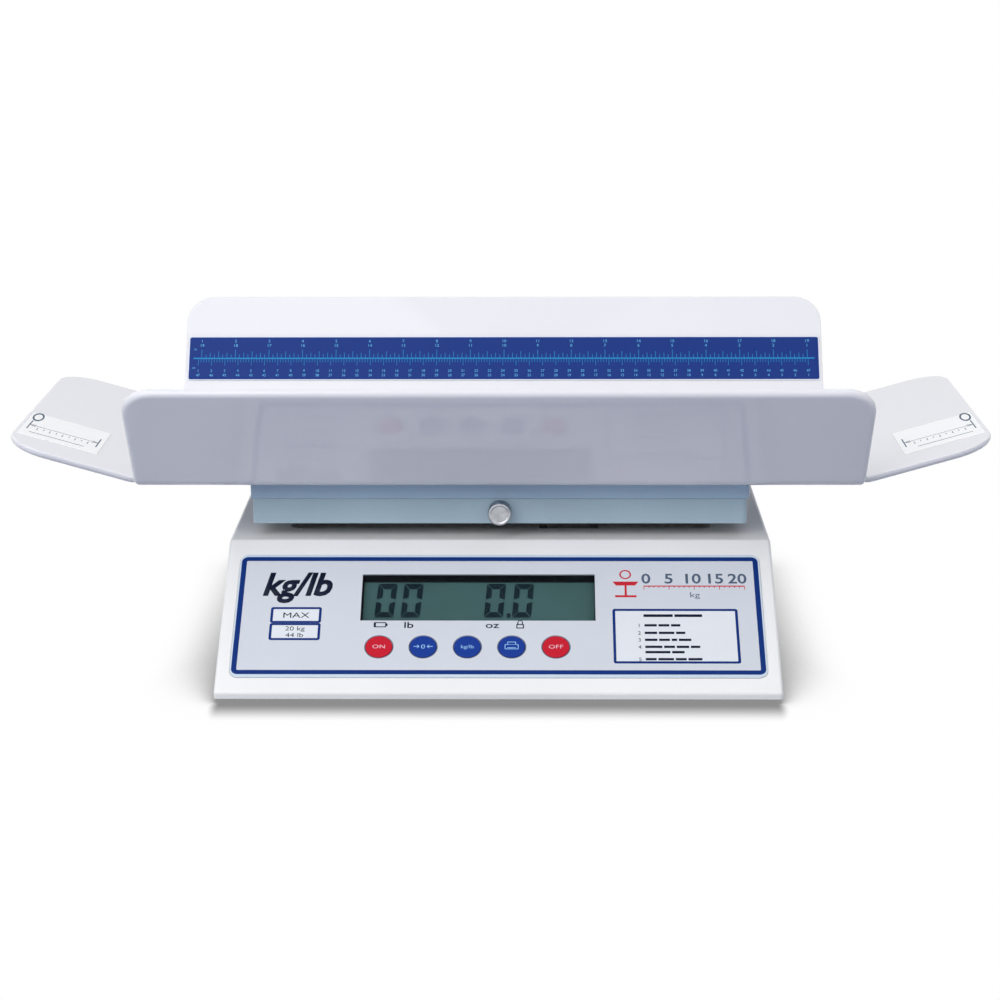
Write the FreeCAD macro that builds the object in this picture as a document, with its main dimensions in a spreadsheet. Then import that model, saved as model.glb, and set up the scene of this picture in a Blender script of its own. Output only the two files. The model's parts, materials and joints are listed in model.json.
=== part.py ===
"""Digital baby weighing scale.

A moulded base with a sloped control panel carries a bar load cell. The cell's
live end holds a weighing platform, and a bent tray lifts off the platform once
the thumbscrew at its front is loosened.

Origin at the centre of the base of the overall box, on the table; +X to the
right of the user, +Y away from the user, +Z up. Lengths in mm, angles in degrees.
"""
import FreeCAD, Part
import math
import os
import re
import Sketcher

SIZES = {
    # housing
    "base_width": 361.6,
    "base_depth": 330,
    "base_lip": 4.4,
    "panel_angle": 33.6,
    "panel_slope": 127.1,
    "housing_wall": 3,
    "housing_edge": 2.5,
    "fold_radius": 4,
    "lip_radius": 3.2,
    "foot_height": 3.5,
    "foot_radius": 10,
    "foot_inset": 26,
    "foot_stem_radius": 4,
    "foot_head": 2,
    "foot_head_radius": 6,
    "cover_sheet": 2.5,
    "cover_rib": 3,
    "cover_rib_pitch": 52,
    "cover_rib_length": 130,
    "fit_gap": 0.3,
    # well under the platform
    "well_width": 286,
    "well_length": 144,
    "well_drop": 22,
    "well_radius": 6,
    "post_opening": 42,
    # screw bosses of the housing
    "boss_radius": 5,
    "boss_inset_x": 12,
    "boss_inset_y": 42,
    "housing_screw_radius": 1.7,
    "housing_screw_head_radius": 3.2,
    "housing_screw_head": 1.8,
    "housing_screw_length": 12,
    "rib_width": 2,
    # control panel
    "overlay_width": 344,
    "overlay_height": 102,
    "overlay_start": 11.6,
    "overlay_sheet": 1,
    "overlay_proud": 0.4,
    "overlay_corner": 6,
    "window_width": 153,
    "window_height": 39,
    "window_centre_x": -13.6,
    "window_start": 57.8,
    "window_sheet": 1,
    "window_ledge": 1.2,
    "bezel_wall": 3,
    "bezel_depth": 5.5,
    "glass_width": 163,
    "glass_height": 48,
    "glass_sheet": 2.8,
    "frame_wall": 3,
    "frame_floor": 1.6,
    "board_width": 206,
    "board_height": 84,
    "board_start": 23,
    "board_sheet": 1.6,
    "panel_boss_radius": 3.5,
    "panel_boss_inset": 5,
    "board_screw_radius": 1.3,
    "board_screw_head_radius": 2.6,
    "board_screw_head": 1.6,
    "board_screw_length": 6,
    "key_radius": 8.6,
    "key_pitch": 28.5,
    "key_centre_x": -20,
    "key_centre_y": 36.2,
    "key_proud": 0.9,
    "key_edge": 0.5,
    "key_flange_radius": 10.4,
    "key_flange": 1.2,
    "switch_width": 6.2,
    "switch_height": 3.4,
    "plunger_radius": 1.75,
    "plunger_height": 1.2,
    # load cell and its mounting
    "chassis_length": 190,
    "chassis_width": 56,
    "chassis_sheet": 4,
    "chassis_screw_inset": 9,
    "cell_length": 130,
    "cell_width": 30,
    "cell_height": 22,
    "cell_rise": 13.5,
    "cell_bore": 8,
    "cell_bore_pitch": 30,
    "cell_slot": 5,
    "bolt_end": 10,
    "bolt_pitch": 15,
    "bolt_radius": 2.5,
    "bolt_head": 5,
    "bolt_head_radius": 4.2,
    "bolt_grip": 9,
    "bolt_hole_gap": 0.3,
    "socket_radius": 2.2,
    "socket_depth": 2.6,
    "mount_length": 36,
    "cell_deflection": 0.4,
    "stop_radius": 3,
    "stop_offset": 10,
    "stop_nut_flats": 10,
    "stop_nut": 5,
    # weighing platform
    "platform_width": 330.6,
    "platform_depth": 189.8,
    "platform_skirt": 17.5,
    "platform_gap": 9.9,
    "platform_sheet": 1.6,
    "platform_corner": 3,
    "platform_edge": 1,
    "spider_inset": 20,
    "spider_sheet": 4,
    "spider_gap": 2.5,
    "spider_beam": 24,
    "spider_rib": 4,
    "spider_rib_height": 5,
    "spider_pad_radius": 9,
    "spider_corner": 8,
    "platform_screw_radius": 2,
    "platform_screw_head_radius": 4,
    "platform_screw_head": 1.2,
    "platform_screw_length": 9,
    "post_width": 30,
    "post_corner": 2,
    # thumbscrew
    "knob_radius": 7.9,
    "knob_length": 9,
    "knob_edge": 0.8,
    "knob_dish_radius": 5.6,
    "knob_dish": 0.5,
    "thread_radius": 2.5,
    "thread_length": 15,
    "thread_play": 0.05,
    "washer_radius": 6,
    "washer_sheet": 1,
    "screw_play": 0.1,
    "nut_body_radius": 4,
    "nut_flange_radius": 5,
    "nut_flange": 1.5,
    "nut_length": 6,
    "bracket_width": 34,
    "bracket_sheet": 2,
    "bracket_foot": 13,
    "skirt_hole_radius": 3.2,
    # tray and its carrier
    "carrier_side_overhang": 1.3,
    "carrier_front_overhang": 0.4,
    "carrier_height": 14.1,
    "carrier_tab_width": 30,
    "carrier_tab": 2,
    "carrier_tab_slot": 6.2,
    "carrier_tab_below": 6,
    "rear_tab_offset": 110,
    "rear_tab_width": 24,
    "rear_tab_drop": 10,
    "tray_setback": 206.1,
    "tray_bed_length": 480.4,
    "tray_bed_depth": 238,
    "tray_sheet": 5,
    "tray_bend": 6,
    "tray_lean": 33.2,
    "tray_wall_slant": 87,
    "tray_corner": 20,
    "tray_upper_rim": 0.8,
    "tray_under_rim": 3.6,
    "notch_radius": 2,
    "wing_angle": 16,
    "wing_notch": 2.5,
    "wing_slant": 86.9,
    "wing_corner": 28,
    "tray_screw_x": 130,
    "tray_screw_y": 66,
    "tray_screw_radius": 2,
    "tray_screw_head_radius": 4,
    "tray_screw_length": 11,
    "tray_screw_sink": 1.8,
    "tray_nut_flats": 7,
    "tray_nut": 3.2,
    "label_sheet": 0.35,
    "label_corner": 2,
    "ruler_length": 476.6,
    "ruler_height": 35.7,
    "ruler_start": 18.7,
    "wing_label_length": 55,
    "wing_label_depth": 58,
    "wing_label_start": 29,
    "wing_label_y": -53,
    # power, data and battery
    "main_board_length": 104,
    "main_board_depth": 56,
    "main_board_inset": 25.8,
    "main_board_rise": 6,
    "main_board_post": 4,
    "chip_width": 14,
    "chip_height": 1.8,
    "capacitor_radius": 4,
    "capacitor_height": 12,
    "rear_inset": 6,
    "jack_offset": 32,
    "jack_width": 9,
    "jack_depth": 14,
    "jack_height": 11,
    "jack_bore": 3.1,
    "jack_hole_radius": 4.2,
    "port_offset": 8,
    "port_width": 31,
    "port_height": 12.5,
    "port_depth": 12,
    "port_shell_width": 17,
    "port_shell_height": 8.4,
    "port_shell": 5.8,
    "port_shell_corner": 2.2,
    "port_flange": 1.2,
    "port_stud_pitch": 25,
    "port_stud_flats": 4.8,
    "port_stud": 5,
    "port_stud_bore": 1.2,
    "port_pin_pitch": 2.7,
    "port_pin_radius": 0.5,
    "battery_inset": 51.8,
    "battery_radius": 7.1,
    "battery_length": 50.5,
    "battery_nub": 1,
    "battery_nub_radius": 2.7,
    "battery_gap": 0.6,
    "battery_wall": 2,
    "contact_depth": 1.2,
    "door_sheet": 2,
    "door_ledge": 0.9,
    "door_tongue": 3,
    "door_tongue_sheet": 0.8,
    "door_border": 3,
    "grip_width": 40,
    "grip_groove": 1.2,
    "grip_pitch": 2.6,
    "grip_depth": 0.6,
}

PLACES = {
    "tray_run": "tray_wall_slant * sin(tray_lean)",
    "tray_half": "tray_bed_depth / 2 + tray_run",
    "tray_y": "(tray_setback - tray_half) / 2",
    "base_front": "tray_y - tray_setback",
    "base_back": "base_front + base_depth",
    "panel_foot": "foot_height + base_lip",
    "fold_y": "base_front + panel_slope * cos(panel_angle)",
    "plateau": "panel_foot + panel_slope * sin(panel_angle)",
    "cover_top": "foot_height + cover_sheet",
    "cover_rib_y": "tray_y - (chassis_width + cover_rib_length + foot_inset) / 2",
    "skin_drop": "housing_wall / cos(panel_angle)",
    "inner_lip": "panel_foot + housing_wall * tan(panel_angle) - skin_drop",
    "inner_fold": "fold_y + (skin_drop - housing_wall) / tan(panel_angle)",
    "front_boss_y": "base_front + boss_inset_y",
    "rear_boss_y": "base_back - housing_wall - boss_inset_x",
    "well_floor": "plateau - well_drop",
    "platform_low": "plateau + platform_gap",
    "platform_top": "platform_low + platform_skirt",
    "platform_front": "tray_y - platform_depth / 2",
    "tray_level": "platform_top + carrier_height",
    "screw_level": "platform_low + platform_skirt / 2",
    # panel stack, measured along the panel's normal from the housing's skin
    "overlay_low": "overlay_proud - overlay_sheet",
    "bezel_low": "overlay_low - bezel_depth",
    "glass_low": "bezel_low - glass_sheet",
    "board_top": "glass_low - frame_floor",
    "window_centre_y": "window_start + window_height / 2",
    "board_centre_y": "board_start + board_height / 2",
    "key_flange_top": "-housing_wall - fit_gap",
    "plunger_top": "board_top + switch_height + plunger_height",
    # load cell stack
    "chassis_top": "cover_top + chassis_sheet",
    "cell_low": "chassis_top + cell_rise",
    "cell_top": "cell_low + cell_height",
    "bolt_near": "cell_length / 2 - bolt_end",
    "bolt_far": "bolt_near - bolt_pitch",
    "live_x": "bolt_near - bolt_pitch / 2",
    "spider_low": "platform_low + spider_gap",
    "spider_length": "platform_width - 2 * spider_inset",
    "spider_width": "platform_depth - 2 * spider_inset",
    "platform_under": "platform_top - platform_sheet",
    "carrier_width": "platform_width + 2 * carrier_side_overhang",
    "carrier_depth": "platform_depth + 2 * carrier_front_overhang",
    # thumbscrew stack, along +Y from the platform's front face
    "tab_front": "platform_front + platform_sheet + fit_gap",
    "bracket_front": "tab_front + carrier_tab + fit_gap",
    "washer_front": "platform_front - screw_play - washer_sheet",
    "knob_back": "washer_front - screw_play",
    # tray
    "wall_inset": "tray_sheet * (1 - sin(tray_lean)) / cos(tray_lean)",
    "bend_outer": "tray_bend + tray_sheet",
    "bend_reach": "bend_outer * tan(45 - tray_lean / 2)",
    "wing_crease": "tray_bed_length / 2 + wing_notch + bend_outer * tan(wing_angle / 2)",
    "wing_half_depth": "tray_bed_depth / 2 - bend_reach - wing_notch",
    "rear_tab_y": "2 * tray_y - tab_front - carrier_tab / 2",
    # battery compartment
    "battery_pitch": "2 * battery_radius + battery_gap",
    "battery_room_length": "2 * (battery_length + battery_nub + contact_depth) + battery_gap",
    "battery_room_depth": "3 * battery_pitch + battery_gap",
    "battery_room_height": "2 * battery_radius + battery_gap",
    "battery_cell_start": "battery_gap / 4",
    "battery_y": "base_back - rear_inset - housing_wall - battery_wall - battery_room_depth / 2",
    "door_width": "battery_room_length + 2 * door_border",
    "battery_x": "base_width / 2 - housing_wall - battery_inset - door_width / 2",
    "door_front": "battery_y - battery_room_depth / 2 - door_border",
    # main board and its sockets
    "main_board_x": "housing_wall + main_board_inset + main_board_length / 2 - base_width / 2",
    "jack_x": "main_board_x - jack_offset",
    "port_x": "main_board_x + port_offset",
    "main_board_low": "cover_top + main_board_rise",
    "main_board_top": "main_board_low + board_sheet",
    "main_board_y": "base_back - housing_wall - fit_gap - main_board_depth / 2",
}

doc = FreeCAD.newDocument("baby_scale")


def add_sheet(name, cells):
    sheet = doc.addObject("Spreadsheet::Sheet", name)
    for row, (alias, content) in enumerate(cells.items(), start=1):
        sheet.set(f"A{row}", alias)
        sheet.set(f"B{row}", content)
        sheet.setAlias(f"B{row}", alias)
    return sheet


def bound(expression):
    """The expression with each size and place named through its sheet."""
    def full_name(match):
        word = match[0]
        if word in SIZES:
            return "sizes." + word
        if word in PLACES:
            return "places." + word
        return word
    return re.sub(r"[a-z][a-z0-9_]*", full_name, str(expression))


sizes = add_sheet("sizes", {alias: str(value) for alias, value in SIZES.items()})
places = add_sheet("places", {alias: "=" + bound(formula) for alias, formula in PLACES.items()})
doc.recompute()


def number(expression):
    return float(sizes.evalExpression(bound(expression)))


def tie(item, path, expression):
    item.setExpression(path, bound(expression))


# ---------------------------------------------------------------- bodies and sketches

def new_body(label, x="0", y="0", z="0", axis=FreeCAD.Vector(1, 0, 0), angle="0"):
    body = doc.addObject("PartDesign::Body", label)
    body.Label = label
    body.Placement = FreeCAD.Placement(FreeCAD.Vector(), FreeCAD.Rotation(axis, 1))
    for path, expression in (("x", x), ("y", y), ("z", z)):
        tie(body, f"Placement.Base.{path}", expression)
    tie(body, "Placement.Rotation.Angle", angle)
    return body


def panel_body(label):
    """A body whose X runs right, Y up the slope and Z out of the control panel."""
    return new_body(label, y="base_front", z="panel_foot", angle="panel_angle")


def sketch_on(body, plane, away="0"):
    """A sketch parallel to one of the body's origin planes, away along the plane's normal."""
    sketch = body.newObject("Sketcher::SketchObject", body.Name + "_sketch")
    origin_plane = next(item for item in body.Origin.OriginFeatures if item.Role == plane + "_Plane")
    sketch.AttachmentSupport = [(origin_plane, "")]
    sketch.MapMode = "FlatFace"
    tie(sketch, "AttachmentOffset.Base.z", away)
    return sketch


def fix(sketch, kind, elements, expression):
    constraint = sketch.addConstraint(Sketcher.Constraint(kind, *elements, number(expression)))
    tie(sketch, f"Constraints[{constraint}]", expression)


def place_point(sketch, geometry, point, x, y):
    fix(sketch, "DistanceX", (-1, 1, geometry, point), x)
    fix(sketch, "DistanceY", (-1, 1, geometry, point), y)


def round_corner(sketch, before, after, corner, ends, radius):
    """An arc between two lines, with a construction point at their sharp corner."""
    start, end, centre = ends
    first = math.atan2(start.y - centre.y, start.x - centre.x)
    last = math.atan2(end.y - centre.y, end.x - centre.x)
    left_turn = (start - centre).cross(end - centre).z > 0
    circle = Part.Circle(centre, FreeCAD.Vector(0, 0, 1), number(radius))
    span = (first, last) if left_turn else (last, first)
    arc = sketch.addGeometry(Part.ArcOfCircle(circle, *span), False)
    arc_start, arc_end = (1, 2) if left_turn else (2, 1)
    sketch.addConstraint(Sketcher.Constraint("Tangent", before, 2, arc, arc_start))
    sketch.addConstraint(Sketcher.Constraint("Tangent", arc, arc_end, after, 1))
    fix(sketch, "Radius", (arc,), radius)
    point = sketch.addGeometry(Part.Point(corner), True)
    sketch.addConstraint(Sketcher.Constraint("PointOnObject", point, 1, before))
    sketch.addConstraint(Sketcher.Constraint("PointOnObject", point, 1, after))
    return point, 1


def outline(sketch, corners):
    """A closed outline; each corner is x, y and, where it is rounded, a radius."""
    points = [FreeCAD.Vector(number(corner[0]), number(corner[1]), 0) for corner in corners]
    ends = []
    for index, corner in enumerate(corners):
        here = points[index]
        if len(corner) < 3:
            ends.append((here, here, None))
            continue
        back = (points[index - 1] - here).normalize()
        ahead = (points[(index + 1) % len(points)] - here).normalize()
        half_angle = back.getAngle(ahead) / 2
        reach = number(corner[2]) / math.tan(half_angle)
        centre = here + (back + ahead).normalize() * (number(corner[2]) / math.sin(half_angle))
        ends.append((here + back * reach, here + ahead * reach, centre))
    lines = []
    for index in range(len(points)):
        start = ends[index][1]
        end = ends[(index + 1) % len(points)][0]
        lines.append(sketch.addGeometry(Part.LineSegment(start, end), False))
    for index, corner in enumerate(corners):
        before, after = lines[index - 1], lines[index]
        if len(corner) < 3:
            sketch.addConstraint(Sketcher.Constraint("Coincident", before, 2, after, 1))
            held = (after, 1)
        else:
            held = round_corner(sketch, before, after, points[index], ends[index], corner[2])
        place_point(sketch, *held, corner[0], corner[1])


def rectangle(sketch, x, y, width, height, radius=None):
    """A rectangle about the centre x, y."""
    corners = []
    for right, up in (("-", "-"), ("+", "-"), ("+", "+"), ("-", "+")):
        corner = (f"({x}) {right} ({width}) / 2", f"({y}) {up} ({height}) / 2")
        corners.append(corner + (radius,) if radius else corner)
    outline(sketch, corners)


def circle(sketch, x, y, radius):
    centre = FreeCAD.Vector(number(x), number(y), 0)
    ring = sketch.addGeometry(Part.Circle(centre, FreeCAD.Vector(0, 0, 1), number(radius)), False)
    fix(sketch, "Radius", (ring,), radius)
    place_point(sketch, ring, 3, x, y)


def hexagon(sketch, x, y, across_flats):
    """A hexagon about x, y with two of its flats upright."""
    half, peak = f"({across_flats}) / 2", f"({across_flats}) / sqrt(3)"
    outline(sketch, [
        (f"{x} + {half}", f"{y} - {peak} / 2"),
        (f"{x} + {half}", f"{y} + {peak} / 2"),
        (x, f"{y} + {peak}"),
        (f"{x} - {half}", f"{y} + {peak} / 2"),
        (f"{x} - {half}", f"{y} - {peak} / 2"),
        (x, f"{y} - {peak}"),
    ])


def add_feature(body, kind, sketch, length, reverse, centred):
    feature = body.newObject("PartDesign::" + kind, f"{body.Name}_{kind.lower()}")
    feature.Profile = sketch
    feature.Reversed = reverse
    if centred:
        feature.SideType = "Symmetric"
    tie(feature, "Length", length)
    sketch.Visibility = False
    return feature


def pad(body, sketch, length, reverse=False, centred=False):
    return add_feature(body, "Pad", sketch, length, reverse, centred)


def pocket(body, sketch, length, reverse=False, centred=False):
    return add_feature(body, "Pocket", sketch, length, reverse, centred)


def revolve(body, sketch):
    feature = body.newObject("PartDesign::Revolution", body.Name + "_revolution")
    feature.Profile = sketch
    feature.ReferenceAxis = (sketch, ["V_Axis"])
    feature.Angle = 360
    return feature


def fillet(body, radius, chosen):
    """Rounds the edges of the body for which chosen(edge) is true."""
    doc.recompute()
    base = body.Tip
    names = [f"Edge{i}" for i, edge in enumerate(base.Shape.Edges, start=1) if chosen(edge)]
    feature = body.newObject("PartDesign::Fillet", body.Name + "_fillet")
    feature.Base = (base, names)
    tie(feature, "Radius", radius)
    return feature


def lies_along(edge, direction):
    """True for a straight edge parallel to the direction."""
    if edge.Curve.TypeId != "Part::GeomLine":
        return False
    return edge.Curve.Direction.cross(direction).Length < 1e-6


def turned(label, corners, x, y, z, axis=FreeCAD.Vector(1, 0, 0), angle="0"):
    """A solid of revolution; its outline is given as radius and height."""
    body = new_body(label, x, y, z, axis, angle)
    sketch = sketch_on(body, "XZ")
    outline(sketch, corners)
    revolve(body, sketch)
    return body


def group(label, pieces):
    """Several separate pieces of one kind, handed on as one sub-part."""
    together = doc.addObject("Part::Compound", label)
    together.Label = label
    together.Links = pieces
    return together


# ---------------------------------------------------------------- housing

def panel_sketch(body, out="0"):
    """A sketch in the plane of the control panel, out along its normal from the housing's skin."""
    sketch = sketch_on(body, "XY")
    sketch.AttachmentOffset = FreeCAD.Placement(
        FreeCAD.Vector(), FreeCAD.Rotation(FreeCAD.Vector(1, 0, 0), number("panel_angle")))
    tie(sketch, "AttachmentOffset.Rotation.Angle", "panel_angle")
    tie(sketch, "AttachmentOffset.Base.y", f"base_front - ({out}) * sin(panel_angle)")
    tie(sketch, "AttachmentOffset.Base.z", f"panel_foot + ({out}) * cos(panel_angle)")
    return sketch


def signs():
    return [(x, y) for y in ("-", "+") for x in ("-", "+")]


def boss_pair(y):
    x = "(base_width / 2 - housing_wall - boss_inset_x)"
    return [(side + x, y) for side in "-+"]


def boss_places():
    return boss_pair("front_boss_y") + boss_pair("rear_boss_y")


def board_boss_places():
    x, y = "(board_width / 2 - panel_boss_inset)", "(board_height / 2 - panel_boss_inset)"
    return [(f"window_centre_x {right} {x}", f"board_centre_y {up} {y}") for right, up in signs()]


def foot_places():
    x = "(base_width / 2 - foot_inset)"
    return [(side + x, y) for y in ("base_front + foot_inset", "base_back - foot_inset") for side in "-+"]


def key_x(index):
    return f"key_centre_x + ({index - 2}) * key_pitch"


def circles(sketch, places_at, radius):
    for x, y in places_at:
        circle(sketch, x, y, radius)


def housing_shell(body):
    """The open-bottomed shell: lip, sloped panel, flat top and upright back."""
    outer = sketch_on(body, "YZ")
    outline(outer, [
        ("base_front", "foot_height"),
        ("base_front", "panel_foot", "lip_radius"),
        ("fold_y", "plateau", "fold_radius"),
        ("base_back", "plateau", "fold_radius"),
        ("base_back", "foot_height"),
    ])
    pad(body, outer, "base_width", centred=True)
    half, floor = number("base_width") / 2, number("foot_height")

    def on_a_side(edge):
        box = edge.BoundBox
        return box.XLength < 1e-6 and abs(abs(box.XMin) - half) < 1e-6 and box.ZMax > floor + 1e-6

    fillet(body, "housing_edge", on_a_side)
    inner = sketch_on(body, "YZ")
    outline(inner, [
        ("base_front + housing_wall", "foot_height"),
        ("base_front + housing_wall", "inner_lip"),
        ("inner_fold", "plateau - housing_wall"),
        ("base_back - housing_wall", "plateau - housing_wall"),
        ("base_back - housing_wall", "foot_height"),
    ])
    pocket(body, inner, "base_width - 2 * housing_wall", centred=True)


def panel_openings(body):
    """The recess that takes the overlay, the display's opening and the keys' holes."""
    recess = panel_sketch(body)
    rectangle(recess, "0", "overlay_start + overlay_height / 2", "overlay_width + 2 * fit_gap",
              "overlay_height + 2 * fit_gap", "overlay_corner + fit_gap")
    pocket(body, recess, "-overlay_low")
    opening = panel_sketch(body)
    rectangle(opening, "window_centre_x", "window_centre_y",
              "window_width + 2 * bezel_wall + fit_gap", "window_height + 2 * bezel_wall + fit_gap")
    for index in range(5):
        circle(opening, key_x(index), "key_centre_y", "key_radius + fit_gap")
    pocket(body, opening, "1.5 * housing_wall")


def well(body):
    """The sunk tub in the flat top, with an opening in its floor for the live post."""
    tub = sketch_on(body, "XY", "plateau - housing_wall / 2")
    rectangle(tub, "0", "tray_y", "well_width + 2 * housing_wall", "well_length + 2 * housing_wall",
              "well_radius + housing_wall")
    pad(body, tub, "well_drop + housing_wall / 2", reverse=True)
    hollow = sketch_on(body, "XY", "plateau")
    rectangle(hollow, "0", "tray_y", "well_width", "well_length", "well_radius")
    pocket(body, hollow, "well_drop")
    opening = sketch_on(body, "XY", "well_floor")
    rectangle(opening, "live_x", "tray_y", "post_opening", "post_opening", "well_radius")
    pocket(body, opening, "1.5 * housing_wall")


def housing_bosses(body):
    """Square posts for the bottom cover's screws and round ones for the display board."""
    panel_middle = "panel_foot - skin_drop / 2 + ({} - base_front) * tan(panel_angle)"
    for y, level in (("front_boss_y", panel_middle), ("rear_boss_y", "plateau - housing_wall / 2")):
        front, back = f"{y} - boss_radius", f"{y} + boss_radius"
        for x, _ in boss_pair(y):
            post = sketch_on(body, "YZ", x)
            outline(post, [
                (front, "cover_top"),
                (back, "cover_top"),
                (back, level.format(back)),
                (front, level.format(front)),
            ])
            pad(body, post, "2 * boss_radius", centred=True)
    pilots = sketch_on(body, "XY", "cover_top")
    circles(pilots, boss_places(), "housing_screw_radius")
    pocket(body, pilots, "housing_screw_length", reverse=True)
    board_posts = panel_sketch(body, "board_top")
    circles(board_posts, board_boss_places(), "panel_boss_radius")
    pad(body, board_posts, "-board_top - housing_wall / 2")
    board_pilots = panel_sketch(body, "board_top")
    circles(board_pilots, board_boss_places(), "board_screw_radius")
    pocket(body, board_pilots, "board_screw_length", reverse=True)


def rear_openings(body):
    """Openings in the back wall for the power jack, the serial port and the battery door."""
    holes = sketch_on(body, "XZ", "-base_back")
    circle(holes, "jack_x", "main_board_top + jack_height / 2", "jack_hole_radius")
    rectangle(holes, "port_x", "main_board_top + port_height / 2", "port_shell_width + 2 * fit_gap",
              "port_shell_height + 2 * fit_gap", "port_shell_corner")
    for side in "-+":
        circle(holes, f"port_x {side} port_stud_pitch / 2", "main_board_top + port_height / 2",
               "port_stud_flats / sqrt(3) + fit_gap")
    rectangle(holes, "battery_x", "foot_height + (door_sheet + fit_gap) / 2",
              "door_width + 2 * door_tongue + 2 * fit_gap", "door_sheet + fit_gap")
    pocket(body, holes, "1.5 * housing_wall", reverse=True)


def top_housing():
    body = new_body("top_housing")
    housing_shell(body)
    panel_openings(body)
    well(body)
    rear_openings(body)
    housing_bosses(body)
    return body


def bottom_cover():
    body = new_body("bottom_cover")
    plate = sketch_on(body, "XY", "foot_height")
    rectangle(plate, "0", "(base_front + base_back) / 2", "base_width - 2 * housing_wall - 2 * fit_gap",
              "base_depth - 2 * housing_wall - 2 * fit_gap")
    pad(body, plate, "cover_sheet")
    ribs = sketch_on(body, "XY", "cover_top")
    for index in (-2, -1, 1, 2):
        rectangle(ribs, f"({index}) * cover_rib_pitch", "cover_rib_y", "rib_width", "cover_rib_length")
    pad(body, ribs, "cover_rib")
    posts = sketch_on(body, "XY", "cover_top")
    circles(posts, main_board_screw_places(), "main_board_post")
    pad(body, posts, "main_board_rise")
    holes = sketch_on(body, "XY", "cover_top")
    circles(holes, foot_places(), "foot_stem_radius + thread_play")
    circles(holes, boss_places() + chassis_screw_places(), "housing_screw_radius + fit_gap")
    pocket(body, holes, "cover_sheet")
    pilots = sketch_on(body, "XY", "main_board_low")
    circles(pilots, main_board_screw_places(), "board_screw_radius")
    pocket(body, pilots, "board_screw_length")
    runners = sketch_on(body, "XY", "cover_top")
    rectangle(runners, "battery_x", "(door_front - fit_gap + base_back) / 2",
              "door_width + 2 * door_tongue + 2 * fit_gap", "base_back - door_front + fit_gap")
    pocket(body, runners, "cover_sheet - door_ledge")
    opening = sketch_on(body, "XY", "cover_top")
    rectangle(opening, "battery_x", "(door_front - fit_gap + base_back) / 2",
              "door_width + 2 * fit_gap", "base_back - door_front + fit_gap")
    pocket(body, opening, "cover_sheet")
    return body


def rubber_foot(index):
    x, y = foot_places()[index - 1]
    rim = "foot_radius / 8"
    return turned(f"rubber_foot_{index}", [
        ("0", "0"),
        ("foot_radius - 2 * " + rim, "0"),
        ("foot_radius", "foot_height"),
        ("foot_stem_radius", "foot_height"),
        ("foot_stem_radius", "cover_top"),
        ("foot_head_radius", "cover_top"),
        ("foot_stem_radius", "cover_top + foot_head"),
        ("0", "cover_top + foot_head"),
    ], x, y, "0")


def pan_screw(label, radius, head_radius, head, length, x, y, z, axis=FreeCAD.Vector(1, 0, 0), angle="0"):
    """A screw whose head sits at the origin of its own frame, its shank pointing up."""
    return turned(label, [
        ("0", f"-({head})"),
        (f"({head_radius}) * 0.8", f"-({head})"),
        (head_radius, f"-({head}) / 2"),
        (head_radius, "0"),
        (radius, "0"),
        (radius, length),
        ("0", length),
    ], x, y, z, axis, angle)


def housing_screws():
    return group("housing_screws", [
        pan_screw("housing_screw", "housing_screw_radius", "housing_screw_head_radius",
                  "housing_screw_head", "housing_screw_length", x, y, "foot_height")
        for x, y in boss_places()])


# ---------------------------------------------------------------- control panel

def control_overlay():
    body = panel_body("control_overlay")
    sheet = sketch_on(body, "XY", "overlay_low")
    rectangle(sheet, "0", "overlay_start + overlay_height / 2", "overlay_width", "overlay_height",
              "overlay_corner")
    rectangle(sheet, "window_centre_x", "window_centre_y", "window_width", "window_height")
    for index in range(5):
        circle(sheet, key_x(index), "key_centre_y", "key_radius + fit_gap")
    pad(body, sheet, "overlay_sheet")
    return body


def display_bezel():
    """A dark frame behind the overlay, rebated at its front edge for the clear window."""
    body = panel_body("display_bezel")
    block = sketch_on(body, "XY", "bezel_low")
    rectangle(block, "window_centre_x", "window_centre_y", "window_width + 2 * bezel_wall",
              "window_height + 2 * bezel_wall")
    rectangle(block, "window_centre_x", "window_centre_y", "window_width", "window_height")
    pad(body, block, "bezel_depth")
    rebate = sketch_on(body, "XY", "overlay_low")
    rectangle(rebate, "window_centre_x", "window_centre_y", "window_width + 2 * window_ledge",
              "window_height + 2 * window_ledge")
    pocket(body, rebate, "window_sheet")
    return body


def panel_plate(label, bottom, thickness, y, width, height):
    body = panel_body(label)
    sheet = sketch_on(body, "XY", bottom)
    rectangle(sheet, "window_centre_x", y, width, height)
    pad(body, sheet, thickness)
    return body


def display_window():
    return panel_plate("display_window", "overlay_low - window_sheet", "window_sheet", "window_centre_y",
                       "window_width + 2 * window_ledge", "window_height + 2 * window_ledge")


def display_glass():
    return panel_plate("display_glass", "glass_low", "glass_sheet", "window_centre_y",
                       "glass_width", "glass_height")


def display_frame():
    """The tray that holds the display glass on the board."""
    body = panel_plate("display_frame", "board_top", "bezel_low - board_top", "window_centre_y",
                       "glass_width + 2 * frame_wall", "glass_height + 2 * frame_wall")
    seat = sketch_on(body, "XY", "bezel_low")
    rectangle(seat, "window_centre_x", "window_centre_y", "glass_width", "glass_height")
    pocket(body, seat, "glass_sheet")
    return body


def display_board():
    body = panel_plate("display_board", "board_top - board_sheet", "board_sheet", "board_centre_y",
                       "board_width", "board_height")
    holes = sketch_on(body, "XY", "board_top")
    circles(holes, board_boss_places(), "board_screw_radius + fit_gap")
    pocket(body, holes, "board_sheet")
    return body


def board_screw(x, y, z, angle="0"):
    return pan_screw("board_screw", "board_screw_radius", "board_screw_head_radius",
                     "board_screw_head", "board_screw_length", x, y, z, angle=angle)


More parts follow.
